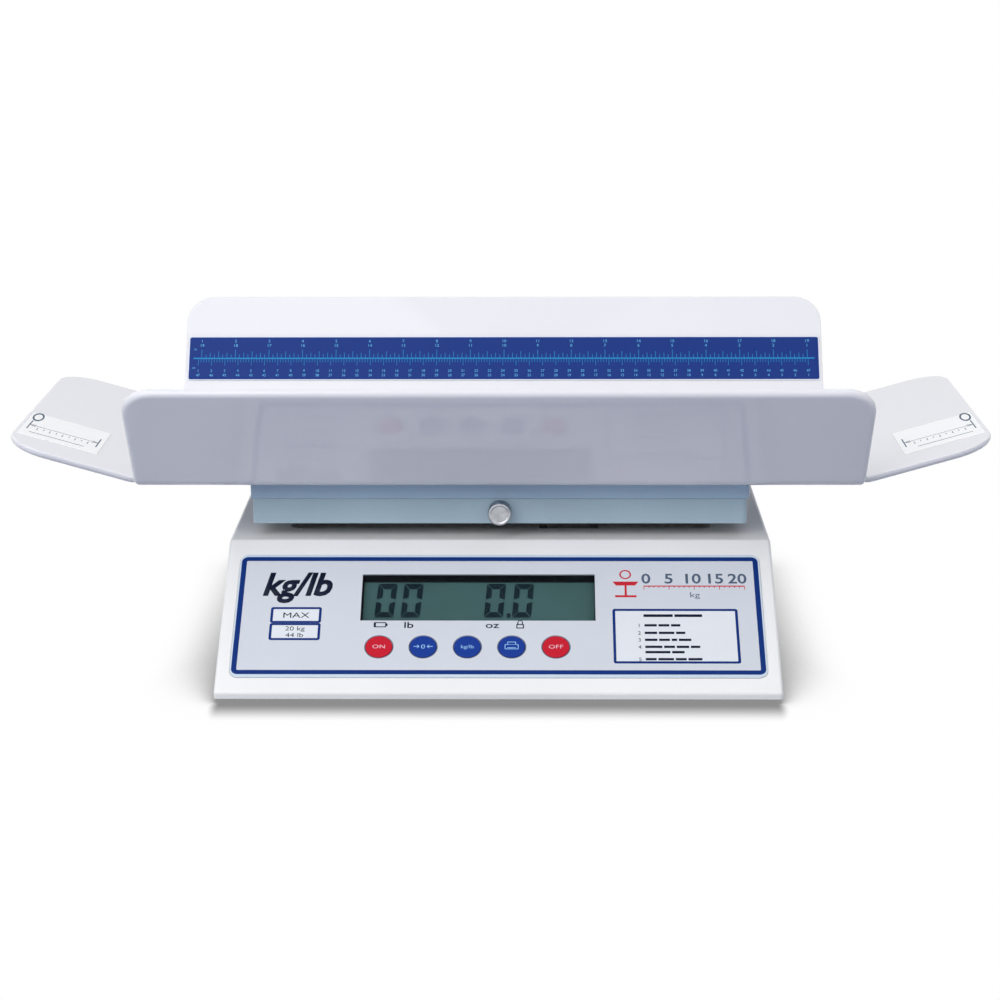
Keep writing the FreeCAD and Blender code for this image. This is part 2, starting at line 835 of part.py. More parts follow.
def display_screws():
    low = "(board_top - board_sheet)"
    return group("display_screws", [
        board_screw(x, f"base_front + ({up}) * cos(panel_angle) - {low} * sin(panel_angle)",
                    f"panel_foot + ({up}) * sin(panel_angle) + {low} * cos(panel_angle)", "panel_angle")
        for x, up in board_boss_places()])


def key_switches():
    body = panel_body("key_switches")
    cases = sketch_on(body, "XY", "board_top")
    for index in range(5):
        rectangle(cases, key_x(index), "key_centre_y", "switch_width", "switch_width")
    pad(body, cases, "switch_height")
    return body


def switch_plungers():
    body = panel_body("switch_plungers")
    stems = sketch_on(body, "XY", "board_top + switch_height")
    for index in range(5):
        circle(stems, key_x(index), "key_centre_y", "plunger_radius")
    pad(body, stems, "plunger_height")
    return body


def panel_key(name, index):
    """A round key with a softly rounded rim, held under the panel by its flange."""
    corners = [
        ("0", "plunger_top + fit_gap"),
        ("plunger_radius + housing_wall / 3", "plunger_top + fit_gap"),
        ("plunger_radius + housing_wall / 3", "key_flange_top - key_flange"),
        ("key_flange_radius", "key_flange_top - key_flange"),
        ("key_flange_radius", "key_flange_top"),
        ("key_radius", "key_flange_top"),
        ("key_radius", "key_proud", "key_edge"),
        ("0", "key_proud"),
    ]
    tilt = "key_centre_y"
    body = new_body(name, key_x(index), f"base_front + {tilt} * cos(panel_angle)",
                    f"panel_foot + {tilt} * sin(panel_angle)", angle="panel_angle")
    sketch = sketch_on(body, "XZ")
    outline(sketch, corners)
    revolve(body, sketch)
    return body


# ---------------------------------------------------------------- load cell

def bolt_places(side):
    """Two bolts in line near one end of the load cell."""
    return [(f"{side}bolt_near", "tray_y"), (f"{side}bolt_far", "tray_y")]


def chassis_screw_places():
    x, y = "(chassis_length / 2 - chassis_screw_inset)", "(chassis_width / 2 - chassis_screw_inset)"
    return [(right + x, f"tray_y {up} {y}") for right, up in signs()]


def stop_places():
    return [("live_x", f"tray_y {side} stop_offset") for side in "-+"]


def chassis_plate():
    body = new_body("chassis_plate")
    plate = sketch_on(body, "XY", "cover_top")
    rectangle(plate, "0", "tray_y", "chassis_length", "chassis_width", "chassis_screw_inset / 2")
    circles(plate, chassis_screw_places(), "housing_screw_radius")
    pad(body, plate, "chassis_sheet")
    return body


def chassis_screws():
    return group("chassis_screws", [
        pan_screw("chassis_screw", "housing_screw_radius", "housing_screw_head_radius",
                  "housing_screw_head", "cover_sheet + chassis_sheet", x, y, "foot_height")
        for x, y in chassis_screw_places()])


def load_cell():
    """A bar cell: two bores joined by a slot leave thin flexures above and below."""
    body = new_body("load_cell")
    bar = sketch_on(body, "XY", "cell_low")
    rectangle(bar, "0", "tray_y", "cell_length", "cell_width")
    pad(body, bar, "cell_height")
    bores = sketch_on(body, "XZ", "-tray_y")
    middle = "cell_low + cell_height / 2"
    for side in "-+":
        circle(bores, f"{side}cell_bore_pitch / 2", middle, "cell_bore")
    pocket(body, bores, "cell_width", centred=True)
    slot = sketch_on(body, "XZ", "-tray_y")
    rectangle(slot, "0", middle, "cell_bore_pitch", "cell_slot")
    pocket(body, slot, "cell_width", centred=True)
    holes = sketch_on(body, "XY", "cell_top")
    circles(holes, bolt_places("-") + bolt_places("+"), "bolt_radius + bolt_hole_gap")
    pocket(body, holes, "cell_height")
    return body


def socket_bolt(x, y, z, angle="0"):
    """A socket-head bolt, its shank pointing up from the seat of the head."""
    return turned("socket_bolt", [
        ("0", "socket_depth - bolt_head"),
        ("socket_radius", "socket_depth - bolt_head"),
        ("socket_radius", "-bolt_head"),
        ("bolt_head_radius", "-bolt_head"),
        ("bolt_head_radius", "0"),
        ("bolt_radius", "0"),
        ("bolt_radius", "cell_height + bolt_grip"),
        ("0", "cell_height + bolt_grip"),
    ], x, y, z, angle=angle)


def fixed_bolts():
    return group("fixed_bolts", [socket_bolt(x, y, "cell_top", "180") for x, y in bolt_places("-")])


def live_bolts():
    return group("live_bolts", [socket_bolt(x, y, "cell_low") for x, y in bolt_places("+")])


def cell_mount():
    body = new_body("cell_mount")
    block = sketch_on(body, "XY", "chassis_top")
    rectangle(block, "-live_x", "tray_y", "mount_length", "cell_width")
    circles(block, bolt_places("-"), "bolt_radius + thread_play")
    pad(body, block, "cell_rise")
    return body


def overload_stops():
    """Studs with lock nuts that catch the live end just past full load."""
    body = new_body("overload_stops")
    nuts = sketch_on(body, "XY", "chassis_top")
    for x, y in stop_places():
        hexagon(nuts, x, y, "stop_nut_flats")
    pad(body, nuts, "stop_nut")
    studs = sketch_on(body, "XY", "chassis_top")
    circles(studs, stop_places(), "stop_radius")
    pad(body, studs, "cell_low - cell_deflection - fit_gap - chassis_top")
    return body


# ---------------------------------------------------------------- power and data

def main_board_screw_places():
    x = "(main_board_length / 2 - 2 * main_board_post)"
    y = "(main_board_depth / 2 - 2 * main_board_post)"
    return [(f"main_board_x {right} {x}", f"main_board_y {up} {y}") for right, up in signs()]


def main_board():
    body = new_body("main_board")
    sheet = sketch_on(body, "XY", "main_board_low")
    rectangle(sheet, "main_board_x", "main_board_y", "main_board_length", "main_board_depth")
    circles(sheet, main_board_screw_places(), "board_screw_radius + fit_gap")
    pad(body, sheet, "board_sheet")
    return body


def main_board_screws():
    return group("main_board_screws", [
        board_screw(x, y, "main_board_top", "180") for x, y in main_board_screw_places()])


def board_parts():
    """The converter chip, the processor and two capacitors on the main board."""
    body = new_body("board_parts")
    chips = sketch_on(body, "XY", "main_board_top")
    rectangle(chips, "main_board_x + main_board_length / 4", "main_board_y", "chip_width", "chip_width")
    rectangle(chips, "main_board_x", "main_board_y - main_board_depth / 4", "chip_width", "chip_width / 2")
    pad(body, chips, "chip_height")
    cans = sketch_on(body, "XY", "main_board_top")
    for offset in ("0", "2.5 * capacitor_radius"):
        circle(cans, f"main_board_x - main_board_length / 5 + {offset}", "main_board_y", "capacitor_radius")
    pad(body, cans, "capacitor_height")
    return body


def power_jack():
    """A barrel jack on the board's rear edge; its collar fills the hole in the back wall."""
    body = new_body("power_jack")
    middle = "main_board_top + jack_height / 2"
    case = sketch_on(body, "XZ", "housing_wall - base_back")
    rectangle(case, "jack_x", middle, "jack_width", "jack_height")
    pad(body, case, "jack_depth")
    collar = sketch_on(body, "XZ", "housing_wall - base_back")
    circle(collar, "jack_x", middle, "jack_hole_radius - thread_play")
    pad(body, collar, "housing_wall", reverse=True)
    bore = sketch_on(body, "XZ", "-base_back")
    circle(bore, "jack_x", middle, "jack_bore")
    pocket(body, bore, "jack_depth - housing_wall", reverse=True)
    pin = sketch_on(body, "XZ", "jack_depth - housing_wall - base_back")
    circle(pin, "jack_x", middle, "jack_bore / 3")
    pad(body, pin, "jack_depth - 2 * housing_wall", reverse=True)
    return body


def serial_port():
    """A nine-way connector: flange inside the back wall, metal shell through it."""
    body = new_body("serial_port")
    middle = "main_board_top + port_height / 2"
    flange = sketch_on(body, "XZ", "housing_wall - base_back")
    rectangle(flange, "port_x", middle, "port_width", "port_height")
    pad(body, flange, "port_flange")
    rear = sketch_on(body, "XZ", "housing_wall + port_flange - base_back")
    rectangle(rear, "port_x", middle, "port_shell_width + port_flange", "port_height")
    pad(body, rear, "port_depth - port_flange")
    shell = sketch_on(body, "XZ", "housing_wall - base_back")
    rectangle(shell, "port_x", middle, "port_shell_width", "port_shell_height", "port_shell_corner")
    pad(body, shell, "port_shell", reverse=True)
    hollow = sketch_on(body, "XZ", "housing_wall - base_back - port_shell")
    rectangle(hollow, "port_x", middle, "port_shell_width - port_flange",
              "port_shell_height - port_flange", "port_shell_corner - port_flange / 2")
    pocket(body, hollow, "port_shell - port_flange", reverse=True)
    pins = sketch_on(body, "XZ", "housing_wall - port_flange - base_back")
    for index in range(9):
        column, row = ((index - 2, "+") if index < 5 else (index - 6.5, "-"))
        circle(pins, f"port_x + ({column}) * port_pin_pitch", f"{middle} {row} port_pin_pitch / 2",
               "port_pin_radius")
    pad(body, pins, "port_shell - 2 * port_flange", reverse=True)
    return body


def port_studs():
    """Hexagonal jackscrews beside the port's shell, bored for the plug's screws."""
    body = new_body("port_studs")
    middle = "main_board_top + port_height / 2"
    posts = sketch_on(body, "XZ", "housing_wall - base_back")
    for side in "-+":
        hexagon(posts, f"port_x {side} port_stud_pitch / 2", middle, "port_stud_flats")
        circle(posts, f"port_x {side} port_stud_pitch / 2", middle, "port_stud_bore")
    pad(body, posts, "port_stud", reverse=True)
    return body


def battery_box():
    """An open-bottomed box over the opening in the cover, on a flange that closes the door's runners."""
    body = new_body("battery_box")
    flange = sketch_on(body, "XY", "cover_top")
    front, back = "(door_front - door_tongue)", "(base_back - housing_wall - fit_gap)"
    rectangle(flange, "battery_x", f"({front} + {back}) / 2",
              "door_width + 4 * door_tongue", f"{back} - {front}")
    pad(body, flange, "battery_wall")
    box = sketch_on(body, "XY", "cover_top")
    rectangle(box, "battery_x", "battery_y", "battery_room_length + 2 * battery_wall",
              "battery_room_depth + 2 * battery_wall", "battery_wall")
    pad(body, box, "battery_room_height + battery_wall")
    room = sketch_on(body, "XY", "cover_top")
    rectangle(room, "battery_x", "battery_y", "battery_room_length", "battery_room_depth")
    pocket(body, room, "battery_room_height", reverse=True)
    return body


def battery_cells():
    level = "foot_height + door_sheet + fit_gap + battery_radius"
    cells = []
    for row in (-1, 0, 1):
        for side, turn in (("-", "-90"), ("+", "90")):
            cells.append(turned("battery_cell", [
                ("0", "0"),
                ("battery_radius", "0"),
                ("battery_radius", "battery_length"),
                ("battery_nub_radius", "battery_length"),
                ("battery_nub_radius", "battery_length + battery_nub"),
                ("0", "battery_length + battery_nub"),
            ], f"battery_x {side} battery_cell_start", f"battery_y + ({row}) * battery_pitch", level,
                FreeCAD.Vector(0, 1, 0), turn))
    return group("battery_cells", cells)


def battery_contacts():
    """Plated strips at both ends of each row of cells."""
    body = new_body("battery_contacts")
    strips = sketch_on(body, "XY", "cover_top")
    for side in "-+":
        for row in (-1, 0, 1):
            rectangle(strips, f"battery_x {side} (battery_room_length - contact_depth) / 2",
                      f"battery_y + ({row}) * battery_pitch", "contact_depth", "battery_radius * 1.6")
    pad(body, strips, "battery_room_height")
    return body


def battery_door():
    """A sliding door, tongued along both sides, with finger grooves near its rear edge."""
    body = new_body("battery_door")
    middle = "(door_front + base_back) / 2"
    panel = sketch_on(body, "XY", "foot_height")
    rectangle(panel, "battery_x", middle, "door_width", "base_back - door_front")
    pad(body, panel, "door_sheet")
    tongues = sketch_on(body, "XY", "foot_height + door_sheet")
    rectangle(tongues, "battery_x", middle, "door_width + 2 * door_tongue", "base_back - door_front")
    pad(body, tongues, "door_tongue_sheet", reverse=True)
    grooves = sketch_on(body, "XY", "foot_height")
    for index in range(6):
        rectangle(grooves, "battery_x", f"base_back - door_border - ({index} + 1) * grip_pitch",
                  "grip_width", "grip_groove")
    pocket(body, grooves, "grip_depth", reverse=True)
    return body


# ---------------------------------------------------------------- weighing platform

def platform_screw_places():
    x, y = "(spider_length / 2 - spider_beam / 2)", "(spider_width / 2 - spider_beam / 2)"
    return [(right + x, f"tray_y {up} {y}") for right, up in signs()]


def live_post():
    """The block that carries the platform's frame on the live end of the cell."""
    body = new_body("live_post")
    block = sketch_on(body, "XY", "cell_top")
    rectangle(block, "live_x", "tray_y", "post_width", "post_width", "post_corner")
    pad(body, block, "spider_low - cell_top")
    holes = sketch_on(body, "XY", "cell_top")
    circles(holes, bolt_places("+"), "bolt_radius + thread_play")
    pocket(body, holes, "bolt_grip + fit_gap", reverse=True)
    tapped = sketch_on(body, "XY", "spider_low")
    circles(tapped, post_screw_places(), "platform_screw_radius + thread_play")
    pocket(body, tapped, "platform_screw_length")
    return body


def post_screw_places():
    return [("live_x", f"tray_y {side} post_width / 4") for side in "-+"]


def post_screws():
    return group("post_screws", [
        pan_screw("post_screw", "platform_screw_radius", "platform_screw_head_radius", "platform_screw_head",
                  "platform_screw_length", x, y, "spider_low + spider_sheet", angle="180")
        for x, y in post_screw_places()])


def platform_frame():
    """A cast frame: a rim and a cross of beams, ribbed on top, with a pad at each corner."""
    body = new_body("platform_frame")
    plate = sketch_on(body, "XY", "spider_low")
    rectangle(plate, "0", "tray_y", "spider_length", "spider_width", "spider_corner")
    pad(body, plate, "spider_sheet")
    windows = sketch_on(body, "XY", "spider_low + spider_sheet")
    for right, up in signs():
        rectangle(windows, f"{right}(spider_length - spider_beam) / 4",
                  f"tray_y {up} (spider_width - spider_beam) / 4", "spider_length / 2 - 1.5 * spider_beam",
                  "spider_width / 2 - 1.5 * spider_beam", "spider_corner")
    pocket(body, windows, "spider_sheet")
    seat = sketch_on(body, "XY", "spider_low")
    rectangle(seat, "live_x", "tray_y", "post_width", "post_width + 2 * spider_rib", "post_corner")
    pad(body, seat, "spider_sheet")
    ribs = sketch_on(body, "XY", "spider_low + spider_sheet / 2")
    for up in "-+":
        rectangle(ribs, "0", f"tray_y {up} (spider_width - spider_rib) / 2",
                  "spider_length - 2 * spider_corner", "spider_rib")
    for right in "-+":
        rectangle(ribs, f"{right}(spider_length - spider_rib) / 2", "tray_y",
                  "spider_rib", "spider_width - 2 * spider_corner")
    pad(body, ribs, "spider_sheet / 2 + spider_rib_height")
    pads = sketch_on(body, "XY", "spider_low + spider_sheet / 2")
    circles(pads, platform_screw_places(), "spider_pad_radius")
    pad(body, pads, "platform_under - spider_low - spider_sheet / 2")
    tapped = sketch_on(body, "XY", "platform_under")
    circles(tapped, platform_screw_places(), "platform_screw_radius + thread_play")
    pocket(body, tapped, "platform_screw_length")
    clearance = sketch_on(body, "XY", "spider_low + spider_sheet")
    circles(clearance, post_screw_places(), "platform_screw_radius + fit_gap")
    pocket(body, clearance, "spider_sheet")
    return body


def folded_pan(label, width, depth, top, drop, sheet):
    """A pan folded from sheet and turned upside down, its corners closed."""
    body = new_body(label)
    block = sketch_on(body, "XY", top)
    rectangle(block, "0", "tray_y", width, depth, "platform_corner")
    pad(body, block, drop, reverse=True)
    level = number(top)
    fillet(body, "platform_edge", lambda edge: abs(edge.BoundBox.ZMin - level) < 1e-6)
    hollow = sketch_on(body, "XY", f"{top} - ({sheet})")
    rectangle(hollow, "0", "tray_y", f"{width} - 2 * ({sheet})", f"{depth} - 2 * ({sheet})",
              f"platform_corner - ({sheet})")
    pocket(body, hollow, f"{drop} - ({sheet})")
    return body


def platform_cover():
    body = folded_pan("platform_cover", "platform_width", "platform_depth", "platform_top",
                      "platform_skirt", "platform_sheet")
    holes = sketch_on(body, "XY", "platform_top")
    circles(holes, platform_screw_places(), "platform_screw_radius + fit_gap")
    rectangle(holes, "0", "tab_front + carrier_tab / 2", "carrier_tab_width + 2 * fit_gap",
              "carrier_tab + 2 * fit_gap")
    for side in "-+":
        rectangle(holes, f"{side}rear_tab_offset", "rear_tab_y", "rear_tab_width + 2 * fit_gap",
                  "carrier_tab + 2 * fit_gap")
    pocket(body, holes, "platform_sheet")
    front = sketch_on(body, "XZ", "-platform_front")
    circle(front, "0", "screw_level", "skirt_hole_radius")
    pocket(body, front, "2 * platform_sheet")
    return body


def platform_screws():
    return group("platform_screws", [
        pan_screw("platform_screw", "platform_screw_radius", "platform_screw_head_radius",
                  "platform_screw_head", "platform_screw_length", x, y, "platform_top", angle="180")
        for x, y in platform_screw_places()])


def nut_bracket():
    """An angle under the platform's top, behind its front skirt, that carries the clinch nut."""
    body = new_body("nut_bracket")
    profile = sketch_on(body, "YZ")
    back = "bracket_front + bracket_sheet"
    outline(profile, [
        ("bracket_front", "screw_level - carrier_tab_below"),
        (back, "screw_level - carrier_tab_below"),
        (back, "platform_under - bracket_sheet"),
        ("bracket_front + bracket_foot", "platform_under - bracket_sheet"),
        ("bracket_front + bracket_foot", "platform_under"),
        ("bracket_front", "platform_under"),
    ])
    pad(body, profile, "bracket_width", centred=True)
    hole = sketch_on(body, "XZ", "-bracket_front")
    circle(hole, "0", "screw_level", "nut_body_radius")
    pocket(body, hole, "bracket_sheet")
    return body


def clinch_nut():
    bore = "thread_radius + thread_play"
    return turned("clinch_nut", [
        (bore, "0"),
        ("nut_body_radius", "0"),
        ("nut_body_radius", "-bracket_sheet"),
        ("nut_flange_radius", "-bracket_sheet"),
        ("nut_flange_radius", "-bracket_sheet - nut_flange"),
        ("nut_body_radius", "-bracket_sheet - nut_flange"),
        ("nut_body_radius", "-nut_length"),
        (bore, "-nut_length"),
    ], "0", "bracket_front", "screw_level", angle="90")


def thumbscrew():
    """A turned head, dished in front, on a plain-ended thread."""
    return turned("thumbscrew", [
        ("0", "knob_length - knob_dish"),
        ("knob_dish_radius", "knob_length - knob_dish"),
        ("knob_dish_radius + knob_dish", "knob_length"),
        ("knob_radius - knob_edge", "knob_length"),
        ("knob_radius", "knob_length - knob_edge"),
        ("knob_radius", "knob_edge"),
        ("knob_radius - knob_edge", "0"),
        ("thread_radius", "0"),
        ("thread_radius", "knob_edge - thread_length"),
        ("thread_radius - knob_edge", "-thread_length"),
        ("0", "-thread_length"),
    ], "0", "knob_back", "screw_level", angle="90")


def thumbscrew_washer():
    bore = "thread_radius + fit_gap"
    return turned("thumbscrew_washer", [
        (bore, "0"),
        (bore, "washer_sheet"),
        ("washer_radius", "washer_sheet"),
        ("washer_radius", "0"),
    ], "0", "washer_front + washer_sheet", "screw_level", angle="90")


# ---------------------------------------------------------------- tray

def tray_screw_places():
    return [(right + "tray_screw_x", f"tray_y {up} tray_screw_y") for right, up in signs()]


def tray_carrier():
    """The pan welded up under the tray, with tabs that drop through the platform's top."""
    body = folded_pan("tray_carrier", "carrier_width", "carrier_depth", "tray_level",
                      "carrier_height", "platform_sheet")
    low = "(screw_level - carrier_tab_below)"
    half, slot = "carrier_tab_width / 2", "carrier_tab_slot / 2"
    front = sketch_on(body, "XZ", "-tab_front - carrier_tab")
    outline(front, [
        (f"-{half}", low),
        (f"-{slot}", low),
        (f"-{slot}", f"screw_level + {slot}", f"0.999 * {slot}"),
        (slot, f"screw_level + {slot}", f"0.999 * {slot}"),
        (slot, low),
        (half, low),
        (half, "tray_level - platform_sheet / 2"),
        (f"-{half}", "tray_level - platform_sheet / 2"),
    ])
    pad(body, front, "carrier_tab")
    rear = sketch_on(body, "XY", "tray_level - platform_sheet / 2")
    for side in "-+":
        rectangle(rear, f"{side}rear_tab_offset", "rear_tab_y", "rear_tab_width", "carrier_tab")
    pad(body, rear, "carrier_height - platform_sheet / 2 + rear_tab_drop", reverse=True)
    holes = sketch_on(body, "XY", "tray_level")
    circles(holes, tray_screw_places(), "tray_screw_radius + fit_gap")
    pocket(body, holes, "platform_sheet")
    return body


def tray_section(body):
    """The bed with its two long walls, bent from one sheet."""
    section = sketch_on(body, "YZ")
    lean, rise = "tray_wall_slant * sin(tray_lean)", "tray_wall_slant * cos(tray_lean)"
    across, along = "tray_sheet * cos(tray_lean)", "tray_sheet * sin(tray_lean)"
    half = "tray_bed_depth / 2"
    corners = []
    for side in "-+":
        wall = [
            (f"tray_y {side} ({half} - wall_inset)", "tray_level + tray_sheet", "tray_bend"),
            (f"tray_y {side} ({half} + {lean} - {across})", f"tray_level + {rise} + {along}"),
            (f"tray_y {side} ({half} + {lean})", f"tray_level + {rise}"),
            (f"tray_y {side} {half}", "tray_level", "bend_outer"),
        ]
        corners += wall if side == "-" else wall[::-1]
    outline(section, corners)
    pad(body, section, "tray_bed_length", centred=True)


def tray_wing(body, side):
    """A short end, raised a little from the bed and as deep as its flat."""
    section = sketch_on(body, "XZ", "-tray_y")
    start = "wing_crease - 2 * bend_outer"
    reach, rise = "wing_slant * cos(wing_angle)", "wing_slant * sin(wing_angle)"
    outline(section, [
        (f"{side}({start})", "tray_level"),
        (f"{side}wing_crease", "tray_level", "bend_outer"),
        (f"{side}(wing_crease + {reach})", f"tray_level + {rise}"),
        (f"{side}(wing_crease + {reach} - tray_sheet * sin(wing_angle))",
         f"tray_level + {rise} + tray_sheet * cos(wing_angle)"),
        (f"{side}(wing_crease - tray_sheet * tan(wing_angle / 2))", "tray_level + tray_sheet", "tray_bend"),
        (f"{side}({start})", "tray_level + tray_sheet"),
    ])
    pad(body, section, "2 * wing_half_depth", centred=True)


def round_rim(body, width, radius, side):
    """Rounds the sheet's cut faces, as wide as given, along its upper (1) or its under side (-1)."""
    doc.recompute()
    shape = body.Tip.Shape

    def across(edge):
        return edge.Curve.TypeId == "Part::GeomLine" and abs(edge.Length - number(width)) < 1e-4

    cut_faces = [face for face in shape.Faces if any(across(edge) for edge in face.Edges)]

    def on_side(edge):
        middle = edge.valueAt((edge.FirstParameter + edge.LastParameter) / 2)
        for face in shape.ancestorsOfType(edge, Part.Face):
            if not any(face.isSame(cut) for cut in cut_faces):
                return face.normalAt(*face.Surface.parameter(middle)).z * side > 0.2
        return False

    rim = [edge for face in cut_faces for edge in face.Edges if not across(edge) and on_side(edge)]
    fillet(body, radius, lambda edge: any(edge.isSame(other) for other in rim))


def tray():
    body = new_body("tray")
    tray_section(body)
    tray_wing(body, "-")
    tray_wing(body, "+")
    level, bed_end = number("tray_level + tray_sheet"), number("wing_crease")
    lean = math.radians(number("tray_lean"))
    through_wall = [FreeCAD.Vector(0, side * math.cos(lean), math.sin(lean)) for side in (-1, 1)]

    def wall_corner(edge):
        top = edge.BoundBox.ZMin > level + 2 * number("tray_bend")
        return top and any(lies_along(edge, line) for line in through_wall)

    fillet(body, "tray_corner", wall_corner)
    tilt = math.radians(number("wing_angle"))
    through_wing = [FreeCAD.Vector(side * math.sin(tilt), 0, math.cos(tilt)) for side in (-1, 1)]

    def wing_corner(edge):
        outside = edge.BoundBox.XMax > bed_end + 1 or edge.BoundBox.XMin < -bed_end - 1
        return outside and any(lies_along(edge, line) for line in through_wing)

    fillet(body, "wing_corner", wing_corner)

    def notch(edge):
        return abs(edge.CenterOfMass.x) > bed_end / 2 and lies_along(edge, FreeCAD.Vector(0, 0, 1))

    fillet(body, "notch_radius", notch)
    round_rim(body, "tray_sheet", "tray_upper_rim", 1)
    round_rim(body, "tray_sheet - tray_upper_rim", "tray_under_rim", -1)
    holes = sketch_on(body, "XY", "tray_level + tray_sheet")
    circles(holes, tray_screw_places(), "tray_screw_radius + fit_gap")
    pocket(body, holes, "tray_sheet")
    sinks = sketch_on(body, "XY", "tray_level + tray_sheet")
    circles(sinks, tray_screw_places(), "tray_screw_head_radius + fit_gap")
    pocket(body, sinks, "tray_screw_sink")
    return body


def tray_screws():
    return group("tray_screws", [
        pan_screw("tray_screw", "tray_screw_radius", "tray_screw_head_radius", "tray_screw_sink",
                  "tray_screw_length", x, y, "tray_level + tray_sheet - tray_screw_sink", angle="180")
        for x, y in tray_screw_places()])


def tray_nuts():
    body = new_body("tray_nuts")
    hexes = sketch_on(body, "XY", "tray_level - platform_sheet")
    for x, y in tray_screw_places():
        hexagon(hexes, x, y, "tray_nut_flats")
    circles(hexes, tray_screw_places(), "tray_screw_radius + thread_play")
    pad(body, hexes, "tray_nut", reverse=True)
    return body


def ruler_label():
    """The printed rule along the inner face of the back wall."""
    body = new_body("ruler_label", y="tray_y + tray_bed_depth / 2", z="tray_level", angle="90 - tray_lean")
    strip = sketch_on(body, "XY", "tray_sheet")
    rectangle(strip, "0", "ruler_start + ruler_height / 2", "ruler_length", "ruler_height", "label_corner")
    pad(body, strip, "label_sheet")
    return body


def wing_label(label, side):
    body = new_body(label, f"{side}wing_crease", "tray_y", "tray_level",
                    FreeCAD.Vector(0, 1, 0), "wing_angle" if side == "-" else "-wing_angle")
    sheet = sketch_on(body, "XY", "tray_sheet")
    rectangle(sheet, f"{side}(wing_label_start + wing_label_length / 2)", "wing_label_y",
              "wing_label_length", "wing_label_depth")
    pad(body, sheet, "label_sheet")
    return body


# ---------------------------------------------------------------- build and export

def build():
    pieces = [top_housing(), bottom_cover()]
    pieces += [rubber_foot(index) for index in (1, 2, 3, 4)]
    pieces += [housing_screws(), control_overlay(), display_window(), display_bezel(), display_glass(),
               display_frame(), display_board(), display_screws(), key_switches(), switch_plungers()]
    pieces += [panel_key(name, index)
               for index, name in enumerate(("key_on", "key_zero", "key_units", "key_print", "key_off"))]
    pieces += [chassis_plate(), chassis_screws(), load_cell(), fixed_bolts(), live_bolts(), cell_mount(),
               overload_stops()]
    pieces += [main_board(), main_board_screws(), board_parts(), power_jack(), serial_port(),
               port_studs(), battery_box(), battery_cells(), battery_contacts(), battery_door()]
    pieces += [live_post(), post_screws(), platform_frame(), platform_cover(), platform_screws(),
               nut_bracket(), clinch_nut(), thumbscrew(), thumbscrew_washer()]
    pieces += [tray_carrier(), tray(), tray_screws(), tray_nuts(), ruler_label(),
               wing_label("label_left", "-"), wing_label("label_right", "+")]
    return pieces


def check(pieces):
    """Stops the build if any object failed, or if a cut removed nothing."""
    for item in doc.Objects:
        if "Invalid" in item.State or "Error" in item.State:
            raise RuntimeError(f"{item.Name} failed: {item.State}")
    for item in doc.Objects:
        if item.TypeId == "PartDesign::Pocket":
            if item.Shape.Volume > item.BaseFeature.Shape.Volume - 1e-6:
                raise RuntimeError(f"{item.Name} cuts nothing")
    for piece in pieces:
        if piece.Shape.isNull() or not piece.Shape.isValid():
            raise RuntimeError(f"{piece.Label} has no valid shape")


def main():
    pieces = build()
    doc.recompute()
    check(pieces)
    os.makedirs("parts", exist_ok=True)
    for piece in pieces:
        piece.Shape.exportStep(f"parts/{piece.Label}.step")


main()
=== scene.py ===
"""Looks of the digital baby weighing scale, in metres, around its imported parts."""
import json
import math

import bmesh
import bpy
from mathutils import Matrix, Vector


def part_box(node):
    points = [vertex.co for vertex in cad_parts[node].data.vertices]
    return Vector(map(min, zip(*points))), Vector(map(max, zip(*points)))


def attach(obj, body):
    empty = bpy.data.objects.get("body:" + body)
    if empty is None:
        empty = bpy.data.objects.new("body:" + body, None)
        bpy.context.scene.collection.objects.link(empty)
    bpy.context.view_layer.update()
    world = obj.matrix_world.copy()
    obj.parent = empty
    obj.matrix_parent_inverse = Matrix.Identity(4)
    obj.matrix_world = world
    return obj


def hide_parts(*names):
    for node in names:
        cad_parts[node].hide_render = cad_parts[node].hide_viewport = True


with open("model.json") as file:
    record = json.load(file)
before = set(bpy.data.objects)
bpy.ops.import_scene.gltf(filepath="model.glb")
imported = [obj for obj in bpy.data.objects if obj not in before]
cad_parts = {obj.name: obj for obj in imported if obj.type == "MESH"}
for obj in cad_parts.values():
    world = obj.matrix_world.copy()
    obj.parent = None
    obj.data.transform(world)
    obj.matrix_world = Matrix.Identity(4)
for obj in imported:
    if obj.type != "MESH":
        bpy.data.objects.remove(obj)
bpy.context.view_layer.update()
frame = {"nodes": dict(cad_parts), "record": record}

MM = 0.001
PANEL_ANGLE = math.radians(33.6)
TRAY_LEAN = math.radians(33.2)
WING_ANGLE = math.radians(16)


# ------------------------------------------------------------------ colours and node trees

def tone(red, green, blue):
    """A colour as it looks on a screen, 0 to 255, made linear for the shaders."""
    def linear(value):
        share = value / 255
        return share / 12.92 if share <= 0.04045 else ((share + 0.055) / 1.055) ** 2.4
    return (linear(red), linear(green), linear(blue), 1.0)


def scaled(colour, factor):
    """The colour made darker or lighter, and never brighter than white."""
    return tuple(min(1.0, part * factor) for part in colour[:3]) + (1.0,)


